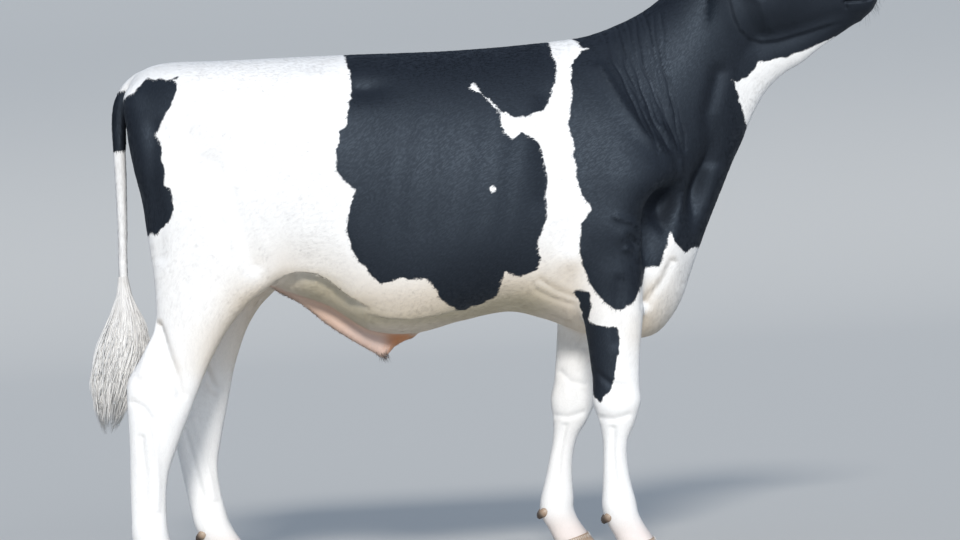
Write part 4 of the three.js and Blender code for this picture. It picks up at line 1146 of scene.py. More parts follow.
# the coat: thin darts that lie along the body, a piece for each part of it
coatKinds = {
    # tufts to the square metre, length, width, how far the tips stand off
    "rump": (32000, 0.0165, 0.0030, 0.0009), "barrel": (32000, 0.0165, 0.0030, 0.0009),
    "chest": (34000, 0.0160, 0.0030, 0.0010), "neck": (40000, 0.0145, 0.0027, 0.0010),
    "head": (100000, 0.0075, 0.0015, 0.0006), "foreleg": (55000, 0.0105, 0.0021, 0.0006),
    "hindleg": (55000, 0.0105, 0.0021, 0.0006), "tail": (60000, 0.0150, 0.0026, 0.0016),
}
inHalves = ("rump", "barrel", "foreleg", "hindleg")
coatPieces = {f"coat_{kind}{side}": values for kind, values in coatKinds.items()
              for side in (("_left", "_right") if kind in inHalves else ("",))}
tuft = dict(sunk=0.0006, ridge=0.40, ridgeHigh=0.0004, widest=0.0030, lean=0.06, scatter=0.010,
            patch=0.003, mostInPiece=49500, bald=0.45, astray=0.10, edgeShort=0.5, edgeFade=(0.002, 0.022),
            bendLimits=(-20, 120), bendKept=60, bendRounds=3)


def pieceOf(places):
    x, y, z = places[:, 0] - stance["middleX"], places[:, 1], places[:, 2]
    number = {name: k for k, name in enumerate(coatPieces)}
    chosen = np.zeros(len(x), int)
    for kind, here in (
        ("rump", True),  # all that no later row takes
        ("barrel", x > -0.42),
        ("chest", x > 0.16),
        ("neck", (x > 0.16) & (z - 1.455 > -2.62 * (x - 0.316))),
        ("hindleg", (z < 0.72) & (x < -0.55)),
        ("foreleg", (z < 0.66) & (x > 0.0) & (np.abs(y) > 0.06)),
        ("head", (x > 0.615) & (z > 1.40 - 0.6 * (x - 0.66))),
        ("tail", (np.abs(y) < 0.04) & (x < -0.985)),
    ):
        name = f"coat_{kind}"
        if kind in inHalves:
            mine = np.where(y > 0, number[name + "_left"], number[name + "_right"])
        else:
            mine = number[name]
        chosen = np.where(here, mine, chosen)
    return chosen


# the skin under a piece rolled off like a sleeve
def unwrap(name, places):
    d = places - places.mean(0)
    upright = "leg" in name or "tail" in name or "neck" in name
    along, first, second = (d[:, 2], d[:, 0], d[:, 1]) if upright else (d[:, 0], d[:, 1], d[:, 2])
    if name == "coat_neck":  # a sleeve that leans
        along, first = 0.8 * d[:, 2] + 0.6 * d[:, 0], 0.8 * d[:, 0] - 0.6 * d[:, 2]
    u = (along - along.min()) / (np.ptp(along) + 1e-6)
    v = np.arctan2(second, first) / (2 * np.pi) + 0.5
    return np.stack([u, v], 1) * (1 - tuft["patch"])


def setUv(mesh, corners):
    mesh.uv_layers.new(name="OFBake").uv.foreach_set("vector", corners.astype(np.float32).ravel())


# how much the skin bends away along the lie of the coat, at every point of the skin, in one over metres
def bendOf(points, normals, tris, way):
    a, b, c = tris.T
    e, f = points[b] - points[a], points[c] - points[a]
    w = unit(way[a] + way[b] + way[c])
    ee, ff, ef, we, wf = ((p * q).sum(1) for p, q in ((e, e), (f, f), (e, f), (w, e), (w, f)))
    whole = np.maximum(ee * ff - ef * ef, 1e-16)
    s, t = (we * ff - wf * ef) / whole, (wf * ee - we * ef) / whole
    turned = s[:, None] * (normals[b] - normals[a]) + t[:, None] * (normals[c] - normals[a])
    bend = (turned * w).sum(1).clip(*tuft["bendLimits"])
    count = sum(np.bincount(corner, minlength=len(points)) for corner in (a, b, c))
    for _ in range(tuft["bendRounds"]):
        total = sum(np.bincount(corner, bend, len(points)) for corner in (a, b, c)) / np.maximum(count, 1)
        bend = (total[a] + total[b] + total[c]) / 3
    return total.clip(0, tuft["bendKept"])


# each tuft is a dart of four points: two at the root, a ridge, and the tip; it follows the bend of the skin
def tuftMesh(name, root, normal, way, long, wide, stand, ridgeHigh, colours, corners):
    n = len(root)
    across = np.cross(normal, way)
    half = across * (wide / 2)[:, None]
    sunk = root - normal * tuft["sunk"]
    bend = colours["bend"][:, 0]
    middle, drop = long * tuft["ridge"], bend / 2
    ridge = root + way * middle[:, None] + normal * (ridgeHigh + stand * 0.3 - drop * middle**2)[:, None]
    tip = root + way * long[:, None] + normal * (stand - drop * long**2)[:, None]
    points = np.stack([sunk - half, sunk + half, ridge, tip], 1).reshape(-1, 3)
    pattern = np.array([[1, 0, 2], [3, 1, 2], [0, 3, 2], [3, 0, 1]])
    tris = (4 * np.arange(n)[:, None, None] + pattern).reshape(-1, 3)
    mesh = meshFrom(name, points, tris=tris)
    offsets = np.array([[0, 0], [1, 0], [0.5, 0.5], [0.5, 1]]) * tuft["patch"]
    setUv(mesh, (corners[:, None] + offsets[pattern.ravel()]).reshape(-1, 2))
    lean = np.stack([-across, across, 0 * across, 0.4 * way], 1) * tuft["lean"]
    lean[:, 2] += way * (bend * middle)[:, None]
    lean[:, 3] += way * (bend * long)[:, None]
    given = unit(normal[:, None] + lean + dice.normal(0, tuft["scatter"], (n, 1, 3)))
    mesh.normals_split_custom_set_from_vertices(given.reshape(-1, 3).astype(np.float32))
    setFields(mesh, colours, 4)
    shade = dice.uniform(0.95, 1.03, n)[:, None] * np.array([0.96, 0.96, 1.0, 1.02])
    setFloat(mesh, "shade", shade.ravel())
    return mesh


def addPiece(name, mesh, material, slot, *replaced):
    piece = bpy.data.objects.new(name, mesh)
    bpy.context.scene.collection.objects.link(piece)
    mesh.materials.append(material)
    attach(piece, "root")
    if replaced:
        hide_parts(*replaced)


def growCoat():
    skinMesh.calc_loop_triangles()
    tris = np.empty(len(skinMesh.loop_triangles) * 3, np.int32)
    skinMesh.loop_triangles.foreach_get("vertices", tris)
    tris = tris.reshape(-1, 3)
    a, b, c = (skinPoints[corner] for corner in tris.T)
    area = np.linalg.norm(np.cross(b - a, c - a), axis=1) / 2
    piece = pieceOf((a + b + c) / 3)
    fields = {**skinFields, "bend": bendOf(skinPoints, skinNormals, tris, skinFields["way"])[:, None]}
    material = tuftMaterial("coat_hair")
    total = 0
    for k, (name, (density, long, wide, stand)) in enumerate(coatPieces.items()):
        mine = np.where(piece == k)[0]
        count = min(int(area[mine].sum() * density), tuft["mostInPiece"])
        sums = np.cumsum(area[mine])
        chosen = mine[np.searchsorted(sums, dice.uniform(0, sums[-1], count)).clip(0, len(mine) - 1)]
        r1, r2 = np.sqrt(dice.uniform(0, 1, count)), dice.uniform(0, 1, count)
        shares = np.stack([1 - r1, r1 * (1 - r2), r1 * r2], 1)
        at = lambda values: (values[tris[chosen]] * shares[:, :, None]).sum(1)
        root, normal = at(skinPoints), unit(at(skinNormals))
        colours = {key: at(values) for key, values in fields.items()}
        keep = colours["bare"][:, 0] < tuft["bald"]
        root, normal = root[keep], normal[keep]
        colours = {key: values[keep] for key, values in colours.items()}
        n = len(root)
        way = colours["way"] + dice.normal(0, tuft["astray"], (n, 3))
        way = unit(way - normal * (way * normal).sum(1)[:, None])
        fromEdge = smooth(np.abs(colours["patch"][:, 0]), *tuft["edgeFade"])
        grow = dice.uniform(0.75, 1.25, n) * lengthAt(root) * mixed(tuft["edgeShort"], 1, fromEdge)
        ridgeHigh = np.full(n, tuft["ridgeHigh"] * wide / tuft["widest"])
        mesh = tuftMesh(name, root, normal, way, long * grow, wide * dice.uniform(0.8, 1.2, n),
                        stand * dice.uniform(0.5, 1.3, n) * grow, ridgeHigh, colours, unwrap(name, root))
        addPiece(name, mesh, material, "hide")
        total += n
        print("  ", name, n)
    print("coat grown:", total, "tufts")


# longer hair under the belly and the brisket, behind the thighs and on the poll, shorter hair on the nose
def lengthAt(places):
    x, y, z = places[:, 0] - stance["middleX"], np.abs(places[:, 1]), places[:, 2]
    belly = 0.35 * smooth(-z, -0.78, -0.66) * smooth(z, 0.56, 0.62) * smooth(-y, -0.16, -0.05)
    poll = 0.45 * np.exp(-((x - 0.64) / 0.05) ** 2 - (y / 0.08) ** 2) * smooth(z, 1.62, 1.68)
    thighs = 0.25 * smooth(-x, 0.90, 0.98) * smooth(z, 0.6, 0.8)
    nose = 0.40 * smooth(x, 0.90, 1.04) * smooth(z, 1.40, 1.44)
    return (1 + (belly + poll + thighs)) * (1 - nose)


# locks of long hair: closed three-sided tubes that run to a point
def strandMesh(name, paths, radii, colours, shade, corners):
    n, k = paths.shape[:2]
    tangent = unit(np.gradient(paths, axis=1))
    helper = unit(dice.normal(0, 1, (n, 1, 3)))
    side = unit(np.cross(tangent, helper))
    other = np.cross(tangent, side)
    angle = 2 * np.pi * np.arange(3) / 3
    rings = (paths[:, :-1, None] + radii[:, :-1, None, None] *
             (side[:, :-1, None] * np.cos(angle)[:, None] + other[:, :-1, None] * np.sin(angle)[:, None]))
    per = 3 * (k - 1) + 1
    points = np.concatenate([rings.reshape(n, -1, 3), paths[:, -1:]], 1).reshape(-1, 3)
    i, j = np.meshgrid(np.arange(k - 2), np.arange(3), indexing="ij")
    a, b = 3 * i + j, 3 * i + (j + 1) % 3
    quads = np.stack([a, b, b + 3, a + 3], 2).reshape(-1, 4)
    last = 3 * (k - 2)
    caps = np.array([[0, 2, 1]] + [[last + m, last + (m + 1) % 3, per - 1] for m in range(3)])
    start = per * np.arange(n)[:, None, None]
    quads, caps = (start + quads).reshape(-1, 4), (start + caps).reshape(-1, 3)
    mesh = meshFrom(name, points, quads, caps)
    share = np.concatenate([np.repeat(np.arange(k - 1) / (k - 1), 3), [1]])
    turn = np.concatenate([np.tile(np.arange(3) / 3, k - 1), [0.5]])
    perPoint = (corners[:, None] + np.stack([share, turn], 1) * tuft["patch"]).reshape(-1, 2)
    setUv(mesh, np.concatenate([perPoint[quads.ravel()], perPoint[caps.ravel()]]))
    setFields(mesh, colours, per)
    setFloat(mesh, "shade", (shade[:, None] * (0.86 + 0.2 * share)[None]).ravel())
    return mesh


# one colour for all of these hairs, told apart by the coat's own attributes
def coloursAt(places, name, creamy=0.0):
    colour = mixed(coatColours[name], coatColours["creamAndShade"], creamy)
    whole = np.tile(colour, (len(places), 1))
    return {"patch": np.full(len(places), 0.05 if name == "black" else -0.05), "light": whole, "dark": whole,
            "strand": places * np.array([6, 6, 1])}


# the switch: a solid heart of hair, and locks that start up the tail and fall over it
tailSwitch = dict(
    locks=2600, points=8, thick=0.0017, taper=0.55, wave=0.0040, flyaway=0.16,
    roots=(0.850, 0.20, 1.6), ends=(0.422, 0.24, 0.7),  # height, spread, and how they are shared out over it
    shortest=0.12, heartLow=0.50,
    heartHeights=(0.470, 0.525, 0.600, 0.720, 0.800), heartShares=(0.30, 0.70, 0.84, 0.88, 0.96),
    streakHeight=0.7,  # the streaks of a lock are those of one height, so that they run along it
)


def growSwitch():
    path = np.array(switchPath)
    order = np.argsort(path[:, 1])
    heights = path[order, 1]
    along = lambda z, k: np.interp(z, heights, path[order, k])
    n, k = tailSwitch["locks"], tailSwitch["points"]
    high, spread, power = tailSwitch["roots"]
    start = high - spread * dice.uniform(0, 1, n) ** power
    reach = np.sqrt(dice.uniform(0.60, 1, n))[:, None]
    low, spread, power = tailSwitch["ends"]
    end = np.minimum(low + spread * dice.uniform(0, 1, n) ** power, start - tailSwitch["shortest"])
    t = np.linspace(0, 1, k)
    z = start[:, None] + (end - start)[:, None] * t
    reach = reach + tailSwitch["flyaway"] * (dice.uniform(0, 1, (n, 1)) > 0.85) * dice.uniform(0.3, 1, (n, 1))
    angle = dice.uniform(0, 2 * np.pi, n)[:, None] + dice.normal(0, 0.30, (n, 1)) * t
    share = mixed(0.95, reach, smooth(t, 0.0, 0.35))
    wave = tailSwitch["wave"] * smooth(t, 0.15, 0.6)
    bend = dice.uniform(0, 2 * np.pi, (n, 2))
    x = along(z, 0) + stance["middleX"] + share * along(z, 2) * np.cos(angle)
    x = x + wave * np.sin(7 * t + bend[:, :1])
    y = share * along(z, 3) * np.sin(angle) + wave * np.sin(6 * t + bend[:, 1:])
    paths = np.stack([x, y, z], 2)
    radii = tailSwitch["thick"] * dice.uniform(0.6, 1.25, (n, 1)) * (1 - tailSwitch["taper"] * t**2)
    colours = coloursAt(paths[:, 0] * [1, 1, 0] + [0, 0, tailSwitch["streakHeight"]], "white", 0.10)
    corners = np.stack([(paths[:, k // 2, 2] - 0.4) / 0.5, (angle[:, 0] / (2 * np.pi)) % 1], 1).clip(0, 0.995)
    mesh = strandMesh("switch_locks", paths, radii, colours, dice.uniform(0.92, 1.05, n), corners)
    material = tuftMaterial("switch_hair", 90.0)
    addPiece("switch_locks", mesh, material, "tail_hair")
    share = np.interp(heights, tailSwitch["heartHeights"], tailSwitch["heartShares"])[np.argsort(order)]
    slim = [(x, z, fore * s, across * s) for (x, z, fore, across), s in zip(path, share)
            if z > tailSwitch["heartLow"]]
    rings = ringsOf(between(alongPath(slim), 0.006), 48)
    points, quads, caps = tube(rings)
    heart = meshFrom("switch_heart", points, quads, caps)
    setFields(heart, {**coloursAt(points, "white", 0.05), "strand": points * np.array([1, 1, 0.1])})
    setFloat(heart, "shade", np.ones(len(points)))
    addPiece("switch_heart", heart, material, "tail_hair", "tail_switch")


# hair that is long where it grows: its length and how much that varies, its thickness, how it sinks and curls
longHair = dict(
    ear=dict(fringe=420, inner=380, length=0.024, varied=(0.5, 1.2), thick=0.00055,
             sink=(0, 0, -0.30), curl=0.06),
    poll=dict(count=520, length=0.030, varied=(0.5, 1.2), thick=0.00075, sink=(0.1, 0, -0.35), curl=0.10),
    lash=dict(upper=30, lower=16, length=0.0125, varied=(0.7, 1.1), thick=0.00030,
              sink=(0, 0, 0.15), curl=0.02),
    whisker=dict(count=90, length=0.030, varied=(0.5, 1.2), thick=0.00022, sink=(-0.1, 0, -0.15), curl=0.04),
    sheath=dict(count=70, length=0.020, varied=(0.4, 1.1), thick=0.00050, sink=(0.1, 0, -0.2), curl=0.08),
    coronet=dict(count=150, length=0.013, varied=(0.6, 1.1), thick=0.00035, sink=(0, 0, -0.10), curl=0.04),
)


def strands(name, hair, material, roots, ways, colours):
    n = len(roots)
    long = (hair["length"] * dice.uniform(*hair["varied"], n))[:, None, None]
    t = np.linspace(0, 1, 5)[:, None]
    sideways = unit(np.cross(ways, dice.normal(0, 1, (n, 3))))[:, None]
    paths = roots[:, None] + ways[:, None] * long * (t - 0.06) + np.array(hair["sink"]) * long * t**2
    paths = paths + sideways * long * hair["curl"] * np.sin(3.0 * t + dice.uniform(0, 6, (n, 1, 1)))
    radii = hair["thick"] * dice.uniform(0.7, 1.2, (n, 1)) * (1 - 0.8 * t[:, 0] ** 1.5)
    corners = ((roots - roots.min(0)) / (np.ptp(roots, axis=0) + 1e-6) * (1 - tuft["patch"]))[:, [0, 2]]
    mesh = strandMesh(name, paths, radii, colours, dice.uniform(0.85, 1.05, n), corners)
    addPiece(name, mesh, material, "hide")


def growLongHair():
    material = tuftMaterial("long_hair", 200.0)
    x, y, z = skinPoints[:, 0] - stance["middleX"], np.abs(skinPoints[:, 1]), skinPoints[:, 2]

    def pick(weight, count):
        weight = weight / weight.sum()
        chosen = dice.choice(len(weight), count, p=weight)
        return skinPoints[chosen] + dice.normal(0, 0.001, (count, 3)), skinNormals[chosen]

    roots, ways = [], []
    hair = longHair["ear"]
    for side in (left, right):
        base, along, upper, front = earFrame(side)
        for count, edge in ((hair["fringe"], True), (hair["inner"], False)):
            t = dice.uniform(0.18, 0.97, count)
            u = dice.choice([-1.0, 1.0], count) if edge else dice.uniform(-0.8, 0.8, count)
            depth = -earCup(t) * (1 - u * u) + (0.0 if edge else 0.004)
            chord = earChord(t) + 0.001
            roots.append(base + along * t[:, None] + upper * (u * chord)[:, None] + front * depth[:, None])
            lean = 0.55 if edge else 0.25
            ways.append(unit(unit(along) * 0.9 + upper * (u * lean)[:, None] + front * (0.25 if edge else 0.45)
                             + dice.normal(0, 0.16, (count, 3))))
    roots, ways = np.concatenate(roots), np.concatenate(ways)
    strands("ear_hair", hair, material, roots, ways, coloursAt(roots, "black"))

    hair = longHair["poll"]
    roots, normals = pick(np.exp(-((x - 0.655) / 0.030) ** 2 - (y / 0.060) ** 2) * (z > 1.66), hair["count"])
    ways = unit(np.array([0.75, 0, -0.25]) + normals * 0.45 + dice.normal(0, 0.18, normals.shape))
    strands("poll_hair", hair, material, roots, ways, coloursAt(roots, "black"))

    hair = longHair["lash"]
    roots, ways = [], []
    for side in (left, right):
        centre, (along, up, out) = placeOf(eye, side), frameOf(eye, side)
        for count, sign in ((hair["upper"], 1), (hair["lower"], -1)):
            angle = np.linspace(0.12, 0.88, count) * np.pi
            u = np.cos(angle) * eye["long"] * 0.98
            v = sign * np.sin(angle) * eye["high"] * 0.98
            w = np.sqrt((eye["radius"] + eye["lid"]) ** 2 - u**2 - v**2)
            roots.append(centre + along * u[:, None] + up * v[:, None] + out * w[:, None])
            ways.append(unit(out * 0.8 + along * (u / eye["long"] * 0.5)[:, None] + up * sign * 0.25
                             + dice.normal(0, 0.06, (count, 3))))
    roots, ways = np.concatenate(roots), np.concatenate(ways)
    strands("lashes", hair, material, roots, ways, coloursAt(roots, "black"))

    hair = longHair["whisker"]
    weight = smooth(x, 0.97, 1.03) * (z < 1.53) * (bareness(skinPoints) < 0.3)
    roots, normals = pick(weight, hair["count"])
    ways = unit(normals + np.array([-0.35, 0, -0.15]) + dice.normal(0, 0.15, normals.shape))
    strands("whiskers", hair, material, roots, ways, coloursAt(roots, "black"))

    hair = longHair["sheath"]
    roots, normals = pick(np.exp(-((x + 0.338) / 0.012) ** 2 - ((z - 0.600) / 0.010) ** 2), hair["count"])
    ways = unit(np.array([0.25, 0, -0.75]) + normals * 0.3 + dice.normal(0, 0.18, normals.shape))
    strands("sheath_hair", hair, material, roots, ways, coloursAt(roots, "sheathTip"))


sides = ((left, "left"), (right, "right"))
eyeball = dict(pupil=(0.0088, 0.0046), boxy=2.6, iris=(0.0166, 0.0180), rim=(0.0120, 0.0165),
               rough=0.06, wet=0.02, cornea=0.0012, corneaWide=0.62, rings=50, around=72,
               browns=((0.010, 0.006, 0.005, 1), (0.030, 0.015, 0.010, 1)), rimBrown=(0.008, 0.006, 0.007, 1),
               whites=((0.11, 0.08, 0.07, 1), (0.18, 0.13, 0.11, 1)), black=(0.0035, 0.0045, 0.008, 1))


# a wide pupil across a brown iris, and the white round it, all by the distance from the line of sight
def eyeMaterial():
    material, tree, shader = newMaterial("eye_wet")
    at = attribute(tree, "gaze", "Vector")
    parts = node(tree, "ShaderNodeSeparateXYZ", {0: at})
    offs = [sumNode(tree, "ABSOLUTE", sumNode(tree, "DIVIDE", parts.outputs[k], half))
            for k, half in enumerate(eyeball["pupil"])]
    across, upright = (sumNode(tree, "POWER", off, eyeball["boxy"]) for off in offs)
    pupil = mapRange(tree, sumNode(tree, "ADD", across, upright), 0.8, 1.25, 1.0, 0.0)
    away = node(tree, "ShaderNodeVectorMath", {0: at}, operation="LENGTH").outputs["Value"]
    turned = node(tree, "ShaderNodeVectorMath", {0: at}, operation="NORMALIZE").outputs[0]
    rays = noise(tree, turned, 14.0, 4.0)
    brown = blend(tree, mapRange(tree, rays, 0.3, 0.7), *eyeball["browns"])
    brown = blend(tree, mapRange(tree, away, *eyeball["rim"]), brown, eyeball["rimBrown"])
    white = blend(tree, noise(tree, at, 300.0), *eyeball["whites"])
    colour = blend(tree, mapRange(tree, away, *eyeball["iris"], 1.0, 0.0), white, brown)
    tree.links.new(blend(tree, pupil, colour, eyeball["black"]), shader.inputs["Base Color"])
    shader.inputs["Roughness"].default_value = eyeball["rough"]
    shader.inputs["Coat Weight"].default_value = 1.0
    shader.inputs["Coat Roughness"].default_value = eyeball["wet"]
    return material


def makeEyes():
    material = eyeMaterial()
    for side, name in sides:
        centre, (along, up, out) = placeOf(eye, side), frameOf(eye, side)
        polar = np.linspace(0, np.pi, eyeball["rings"])[1:-1]
        turn = 2 * np.pi * np.arange(eyeball["around"]) / eyeball["around"]
        radius = eye["radius"] + eyeball["cornea"] * np.exp(-((polar / eyeball["corneaWide"]) ** 4))
        circle = along * np.cos(turn)[:, None] + up * np.sin(turn)[:, None]
        rings = (radius * np.sin(polar))[:, None, None] * circle + (radius * np.cos(polar))[:, None, None] * out
        points, quads, caps = tube(rings)
        points[-2], points[-1] = out * (eye["radius"] + eyeball["cornea"]), -out * eye["radius"]
        mesh = meshFrom("eyeball", points + centre, quads, caps)
        setVector(mesh, "gaze", np.stack([points @ along, points @ up, 0 * points[:, 0]], 1))
        addPiece(f"eyeball_{name}", mesh, material, "eye", f"eye_{name}")


claw = dict(out=0.0285, halfWidth=0.026, ringDeep=0.00030, rings=9, sunk=0.006, step=0.0012, around=56)
soles = {
    "fore": dict(toe=0.411, heel=0.284, coronet=((0.357, 0.071), (0.266, 0.046))),
    "hind": dict(toe=-0.826, heel=-0.947, coronet=((-0.880, 0.071), (-0.965, 0.046))),
}
dewclaw = dict(out=0.026, halfWidth=0.0105, length=0.030, around=32)
# from the root to the tip: the share of the length, the drop, the half height, the share of the half width
dewclawShape = [(0, 0, 0.0125, 1), (0.5, 0.006, 0.0120, 1), (0.82, 0.014, 0.0085, 0.75),
                (0.97, 0.020, 0.0040, 0.35)]
horn = dict(pale=rgb("b3a08c"), warm=rgb("a38b76"), dark=rgb("6e5a4c"), lowDark=rgb("4a4034"),
            black=rgb("1d1815"), rough=0.42, bump=0.6, bumpDeep=0.0005)


# horn grows down from the coronet: bands lie level round it, fine lines run down it
def hornMaterial():
    material, tree, shader = newMaterial("hoof_horn")
    place = node(tree, "ShaderNodeNewGeometry").outputs["Position"]
    grown = attribute(tree, "grown")
    low = sumNode(tree, "MULTIPLY", grown, 0.35)
    parts = node(tree, "ShaderNodeSeparateXYZ", {0: place})
    down = {0: parts.outputs[0], 1: parts.outputs[1], 2: sumNode(tree, "MULTIPLY", low, 0.03)}
    lines = noise(tree, node(tree, "ShaderNodeCombineXYZ", down).outputs[0], 420.0, 2.0)
    patches = noise(tree, place, 28.0, 2.0)
    level = {0: sumNode(tree, "MULTIPLY", parts.outputs[0], 0.10), 2: low}
    bands = noise(tree, node(tree, "ShaderNodeCombineXYZ", level).outputs[0], 34.0, 2.0)
    colour = blend(tree, mapRange(tree, bands, 0.35, 0.65), (*horn["warm"], 1), (*horn["pale"], 1))
    colour = blend(tree, mapRange(tree, lines, 0.45, 0.75, 0.0, 0.12), colour, (*horn["dark"], 1))
    colour = blend(tree, mapRange(tree, patches, 0.45, 0.80, 0.0, 0.55), colour, (*horn["dark"], 1))
    # darker towards the floor, over the lowest centimetre
    colour = blend(tree, mapRange(tree, parts.outputs[2], 0.010, 0.0, 0.0, 0.8), colour, (*horn["lowDark"], 1))
    tip = mapRange(tree, attribute(tree, "tip"), 0.35, 0.80, 0.0, 0.9)
    colour = blend(tree, tip, colour, (*horn["black"], 1))
    tree.links.new(colour, shader.inputs["Base Color"])
    shader.inputs["Roughness"].default_value = horn["rough"]
    height = sumNode(tree, "ADD", sumNode(tree, "MULTIPLY", lines, 0.5), bands)
    addBump(tree, shader, height, horn["bump"], horn["bumpDeep"])
    return material


def footShift(end, side):
    pose = stance[end]
    return pose["swing"] * (pose["pivot"] - stance["fetlock"]) if side == left else 0


def clawMesh(end, y, shift):
    sole = soles[end]
    (frontX, frontZ), (backX, backZ) = sole["coronet"]
    rows = []
    # from the sole (0) to the coronet (1): the share of the width, and how the toe and the heel are rounded
    for t, width, na, nb in ((0, 0.93, 1.75, 2.4), (0.02, 0.99, 1.75, 2.4), (0.06, 1.02, 1.75, 2.4),
                             (0.5, 0.99, 1.85, 2.3), (0.93, 0.94, 2.1, 2.2), (1, 0.88, 2.2, 2.2)):
        lift = claw["sunk"] * (t == 1)
        inset = 0.0025 * (t == 0) + 0.003 * (t == 1)
        bulb = 0.004 * math.sin(math.pi * t) ** 2
        rows.append(rib((sole["toe"] + (frontX - sole["toe"]) * t + shift - inset, frontZ * t + lift),
                        (sole["heel"] + (backX - sole["heel"]) * t + shift + inset - bulb, backZ * t + lift),
                        claw["halfWidth"] * width, 0.56, na, nb, y))
    rings = ringsOf(between(rows, claw["step"]), claw["around"])
    grown = np.linspace(0, 1, len(rings))
    wall = smooth(grown, 0.05, 0.15) * smooth(-grown, -0.98, -0.90)
    ripple = claw["ringDeep"] * np.sin(2 * np.pi * claw["rings"] * grown) * wall
    rings += unit((rings - rings.mean(1, keepdims=True)) * [1, 1, 0]) * ripple[:, None, None]
    rings[:, :, 2] = np.maximum(rings[:, :, 2], 0)
    mesh = meshFrom("claw", *tube(rings))
    setFloat(mesh, "grown", np.concatenate([np.repeat(grown, claw["around"]), [0, 1]]))
    return mesh, rings[-8]


def makeClaws():
    material = hornMaterial()
    roots, ways = [], []
    for side, sideName in sides:
        for end, ribs in (("fore", foreRibs), ("hind", hindRibs)):
            for out, where in ((1, "outer"), (-1, "inner")):
                shift = footShift(end, side)
                y = side * (stance[end]["midline"] + out * claw["out"])
                mesh, top = clawMesh(end, y, shift)
                name = f"{end}claw_{where}_{sideName}"
                addPiece(f"{name}_horn", mesh, material, "hoof_horn", name)
                chosen = dice.integers(0, len(top), longHair["coronet"]["count"])
                away = unit((top - top.mean(0)) * [1, 1, 0])[chosen]
                roots.append(top[chosen] + [0, 0, 0.006] - away * 0.001)
                ways.append(unit(away * 0.35 + [0.05, 0, -0.9] + dice.normal(0, 0.08, away.shape)))
                pastern = ribs[len(ribs) - 4]
                x, z = pastern[2] + 0.022 + shift, pastern[3] + 0.014
                path = [(x - dewclaw["length"] * t, z - drop, high, dewclaw["halfWidth"] * share)
                        for t, drop, high, share in dewclawShape]
                y = side * (stance[end]["midline"] + out * dewclaw["out"])
                rows = [(*row[:8], y) for row in alongPath(path)]
                rings = ringsOf(between(rows, claw["step"]), dewclaw["around"])
                mesh = meshFrom("dewclaw", *tube(rings))
                grown = np.concatenate([np.repeat(np.linspace(1, 0, len(rings)), dewclaw["around"]), [1, 0]])
                setFloat(mesh, "grown", grown)
                setFloat(mesh, "tip", 1 - grown)
                name = f"{end}_dewclaw_{where}_{sideName}"
                addPiece(f"{name}_horn", mesh, material, "hoof_horn", name)
    roots, ways = np.concatenate(roots), np.concatenate(ways)
    strands("coronet_hair", longHair["coronet"], tuftMaterial("foot_hair", 200.0), roots, ways,
            coloursAt(roots, "white", 0.15))


growCoat()
growSwitch()
growLongHair()
makeEyes()
makeClaws()
print("hair, eyes and hooves done")


# plain studio: a pale floor that turns up far behind everything, a big soft key light, a bluish sky
studio = dict(flatRadius=23.0, bowlRadius=60.0, bowlHeight=12.0, around=96, rough=0.9,
              floorColour=(0.62, 0.61, 0.58), wallColour=(0.42, 0.43, 0.43),
              skyColour=(0.64, 0.78, 1.0), skyStrength=0.50)
suns = dict(
    key=dict(towards=(-0.01, -0.88, 0.42), strength=2.5, soft=10, colour=(1.0, 0.97, 0.93)),
    fill=dict(towards=(0.30, -0.92, 0.26), strength=0.65, soft=30, colour=(0.92, 0.96, 1.0)),
)


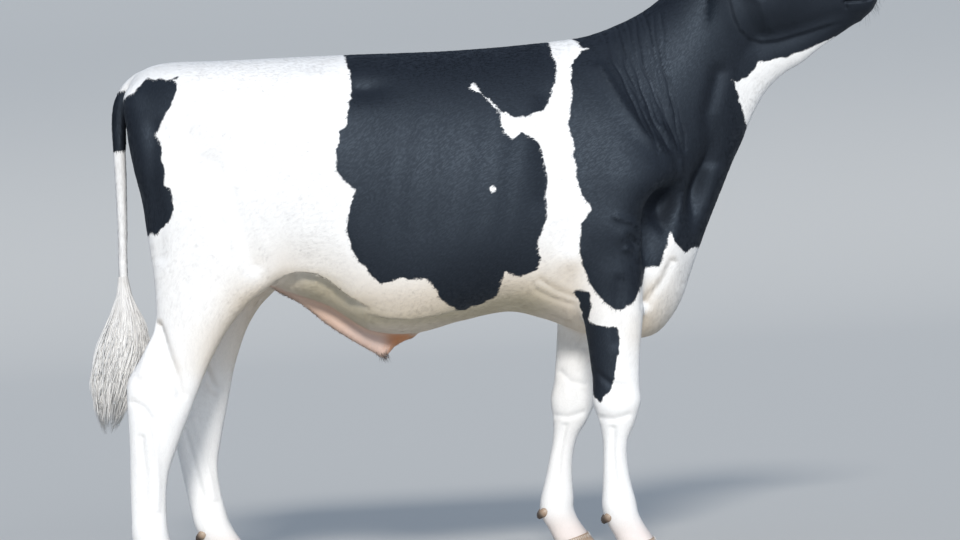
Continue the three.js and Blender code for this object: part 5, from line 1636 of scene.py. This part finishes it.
def buildStudio():
    radii = np.concatenate([[0.5, 2, 5, 10, 16, studio["flatRadius"]],
                            np.linspace(studio["flatRadius"], studio["bowlRadius"], 24)[1:]])
    rise = np.clip((radii - studio["flatRadius"]) / (studio["bowlRadius"] - studio["flatRadius"]), 0, 1)
    height = studio["bowlHeight"] * rise**2
    around = studio["around"]
    angle = 2 * np.pi * np.arange(around) / around
    rings = np.stack([radii[:, None] * np.cos(angle), radii[:, None] * np.sin(angle),
                      np.broadcast_to(height[:, None], (len(radii), around))], 2)
    i, j = np.meshgrid(np.arange(len(radii) - 1), np.arange(around), indexing="ij")
    a, b = i * around + j, i * around + (j + 1) % around
    quads = np.stack([a, a + around, b + around, b], 2).reshape(-1, 4)
    points = np.concatenate([rings.reshape(-1, 3), [[0, 0, 0]]])
    corner = np.arange(around)
    centre = np.stack([np.full(around, len(points) - 1), corner, (corner + 1) % around], 1)
    floor = bpy.data.objects.new("floor", meshFrom("floor", points, quads, centre))
    bpy.context.scene.collection.objects.link(floor)
    material, tree, shader = newMaterial("floor")
    place = node(tree, "ShaderNodeNewGeometry").outputs["Position"]
    high = node(tree, "ShaderNodeSeparateXYZ", {0: place}).outputs[2]
    rising = mapRange(tree, high, 0.0, 5.0)
    colour = blend(tree, rising, (*studio["floorColour"], 1), (*studio["wallColour"], 1))
    tree.links.new(colour, shader.inputs["Base Color"])
    shader.inputs["Roughness"].default_value = studio["rough"]
    floor.data.materials.append(material)


def addSun(name, towards, strength, soft, colour):
    light = bpy.data.lights.new(name, "SUN")
    light.energy, light.angle, light.color = strength, math.radians(soft), colour
    lamp = bpy.data.objects.new(name, light)
    way = unit(np.array(towards, float))
    lamp.rotation_euler = (math.acos(way[2]), 0, math.atan2(way[0], -way[1]))
    bpy.context.scene.collection.objects.link(lamp)


buildStudio()
for name, light in suns.items():
    addSun(name, **light)
world = bpy.data.worlds.new("sky")
world.use_nodes = True
world.node_tree.nodes["Background"].inputs["Color"].default_value = (*studio["skyColour"], 1)
world.node_tree.nodes["Background"].inputs["Strength"].default_value = studio["skyStrength"]
bpy.context.scene.world = world

bpy.context.scene.view_settings.view_transform = "Standard"

view = dict(place=(-0.0426, -9.0, 0.811), roll=3.4, lens=124.9, sensor=36)
lens = bpy.data.cameras.new("camera")
lens.lens, lens.sensor_width = view["lens"], view["sensor"]
camera = bpy.data.objects.new("camera", lens)
camera.location = view["place"]
camera.rotation_euler = (math.radians(90), math.radians(view["roll"]), 0)
bpy.context.scene.collection.objects.link(camera)
bpy.context.scene.camera = camera
print("studio and camera set")
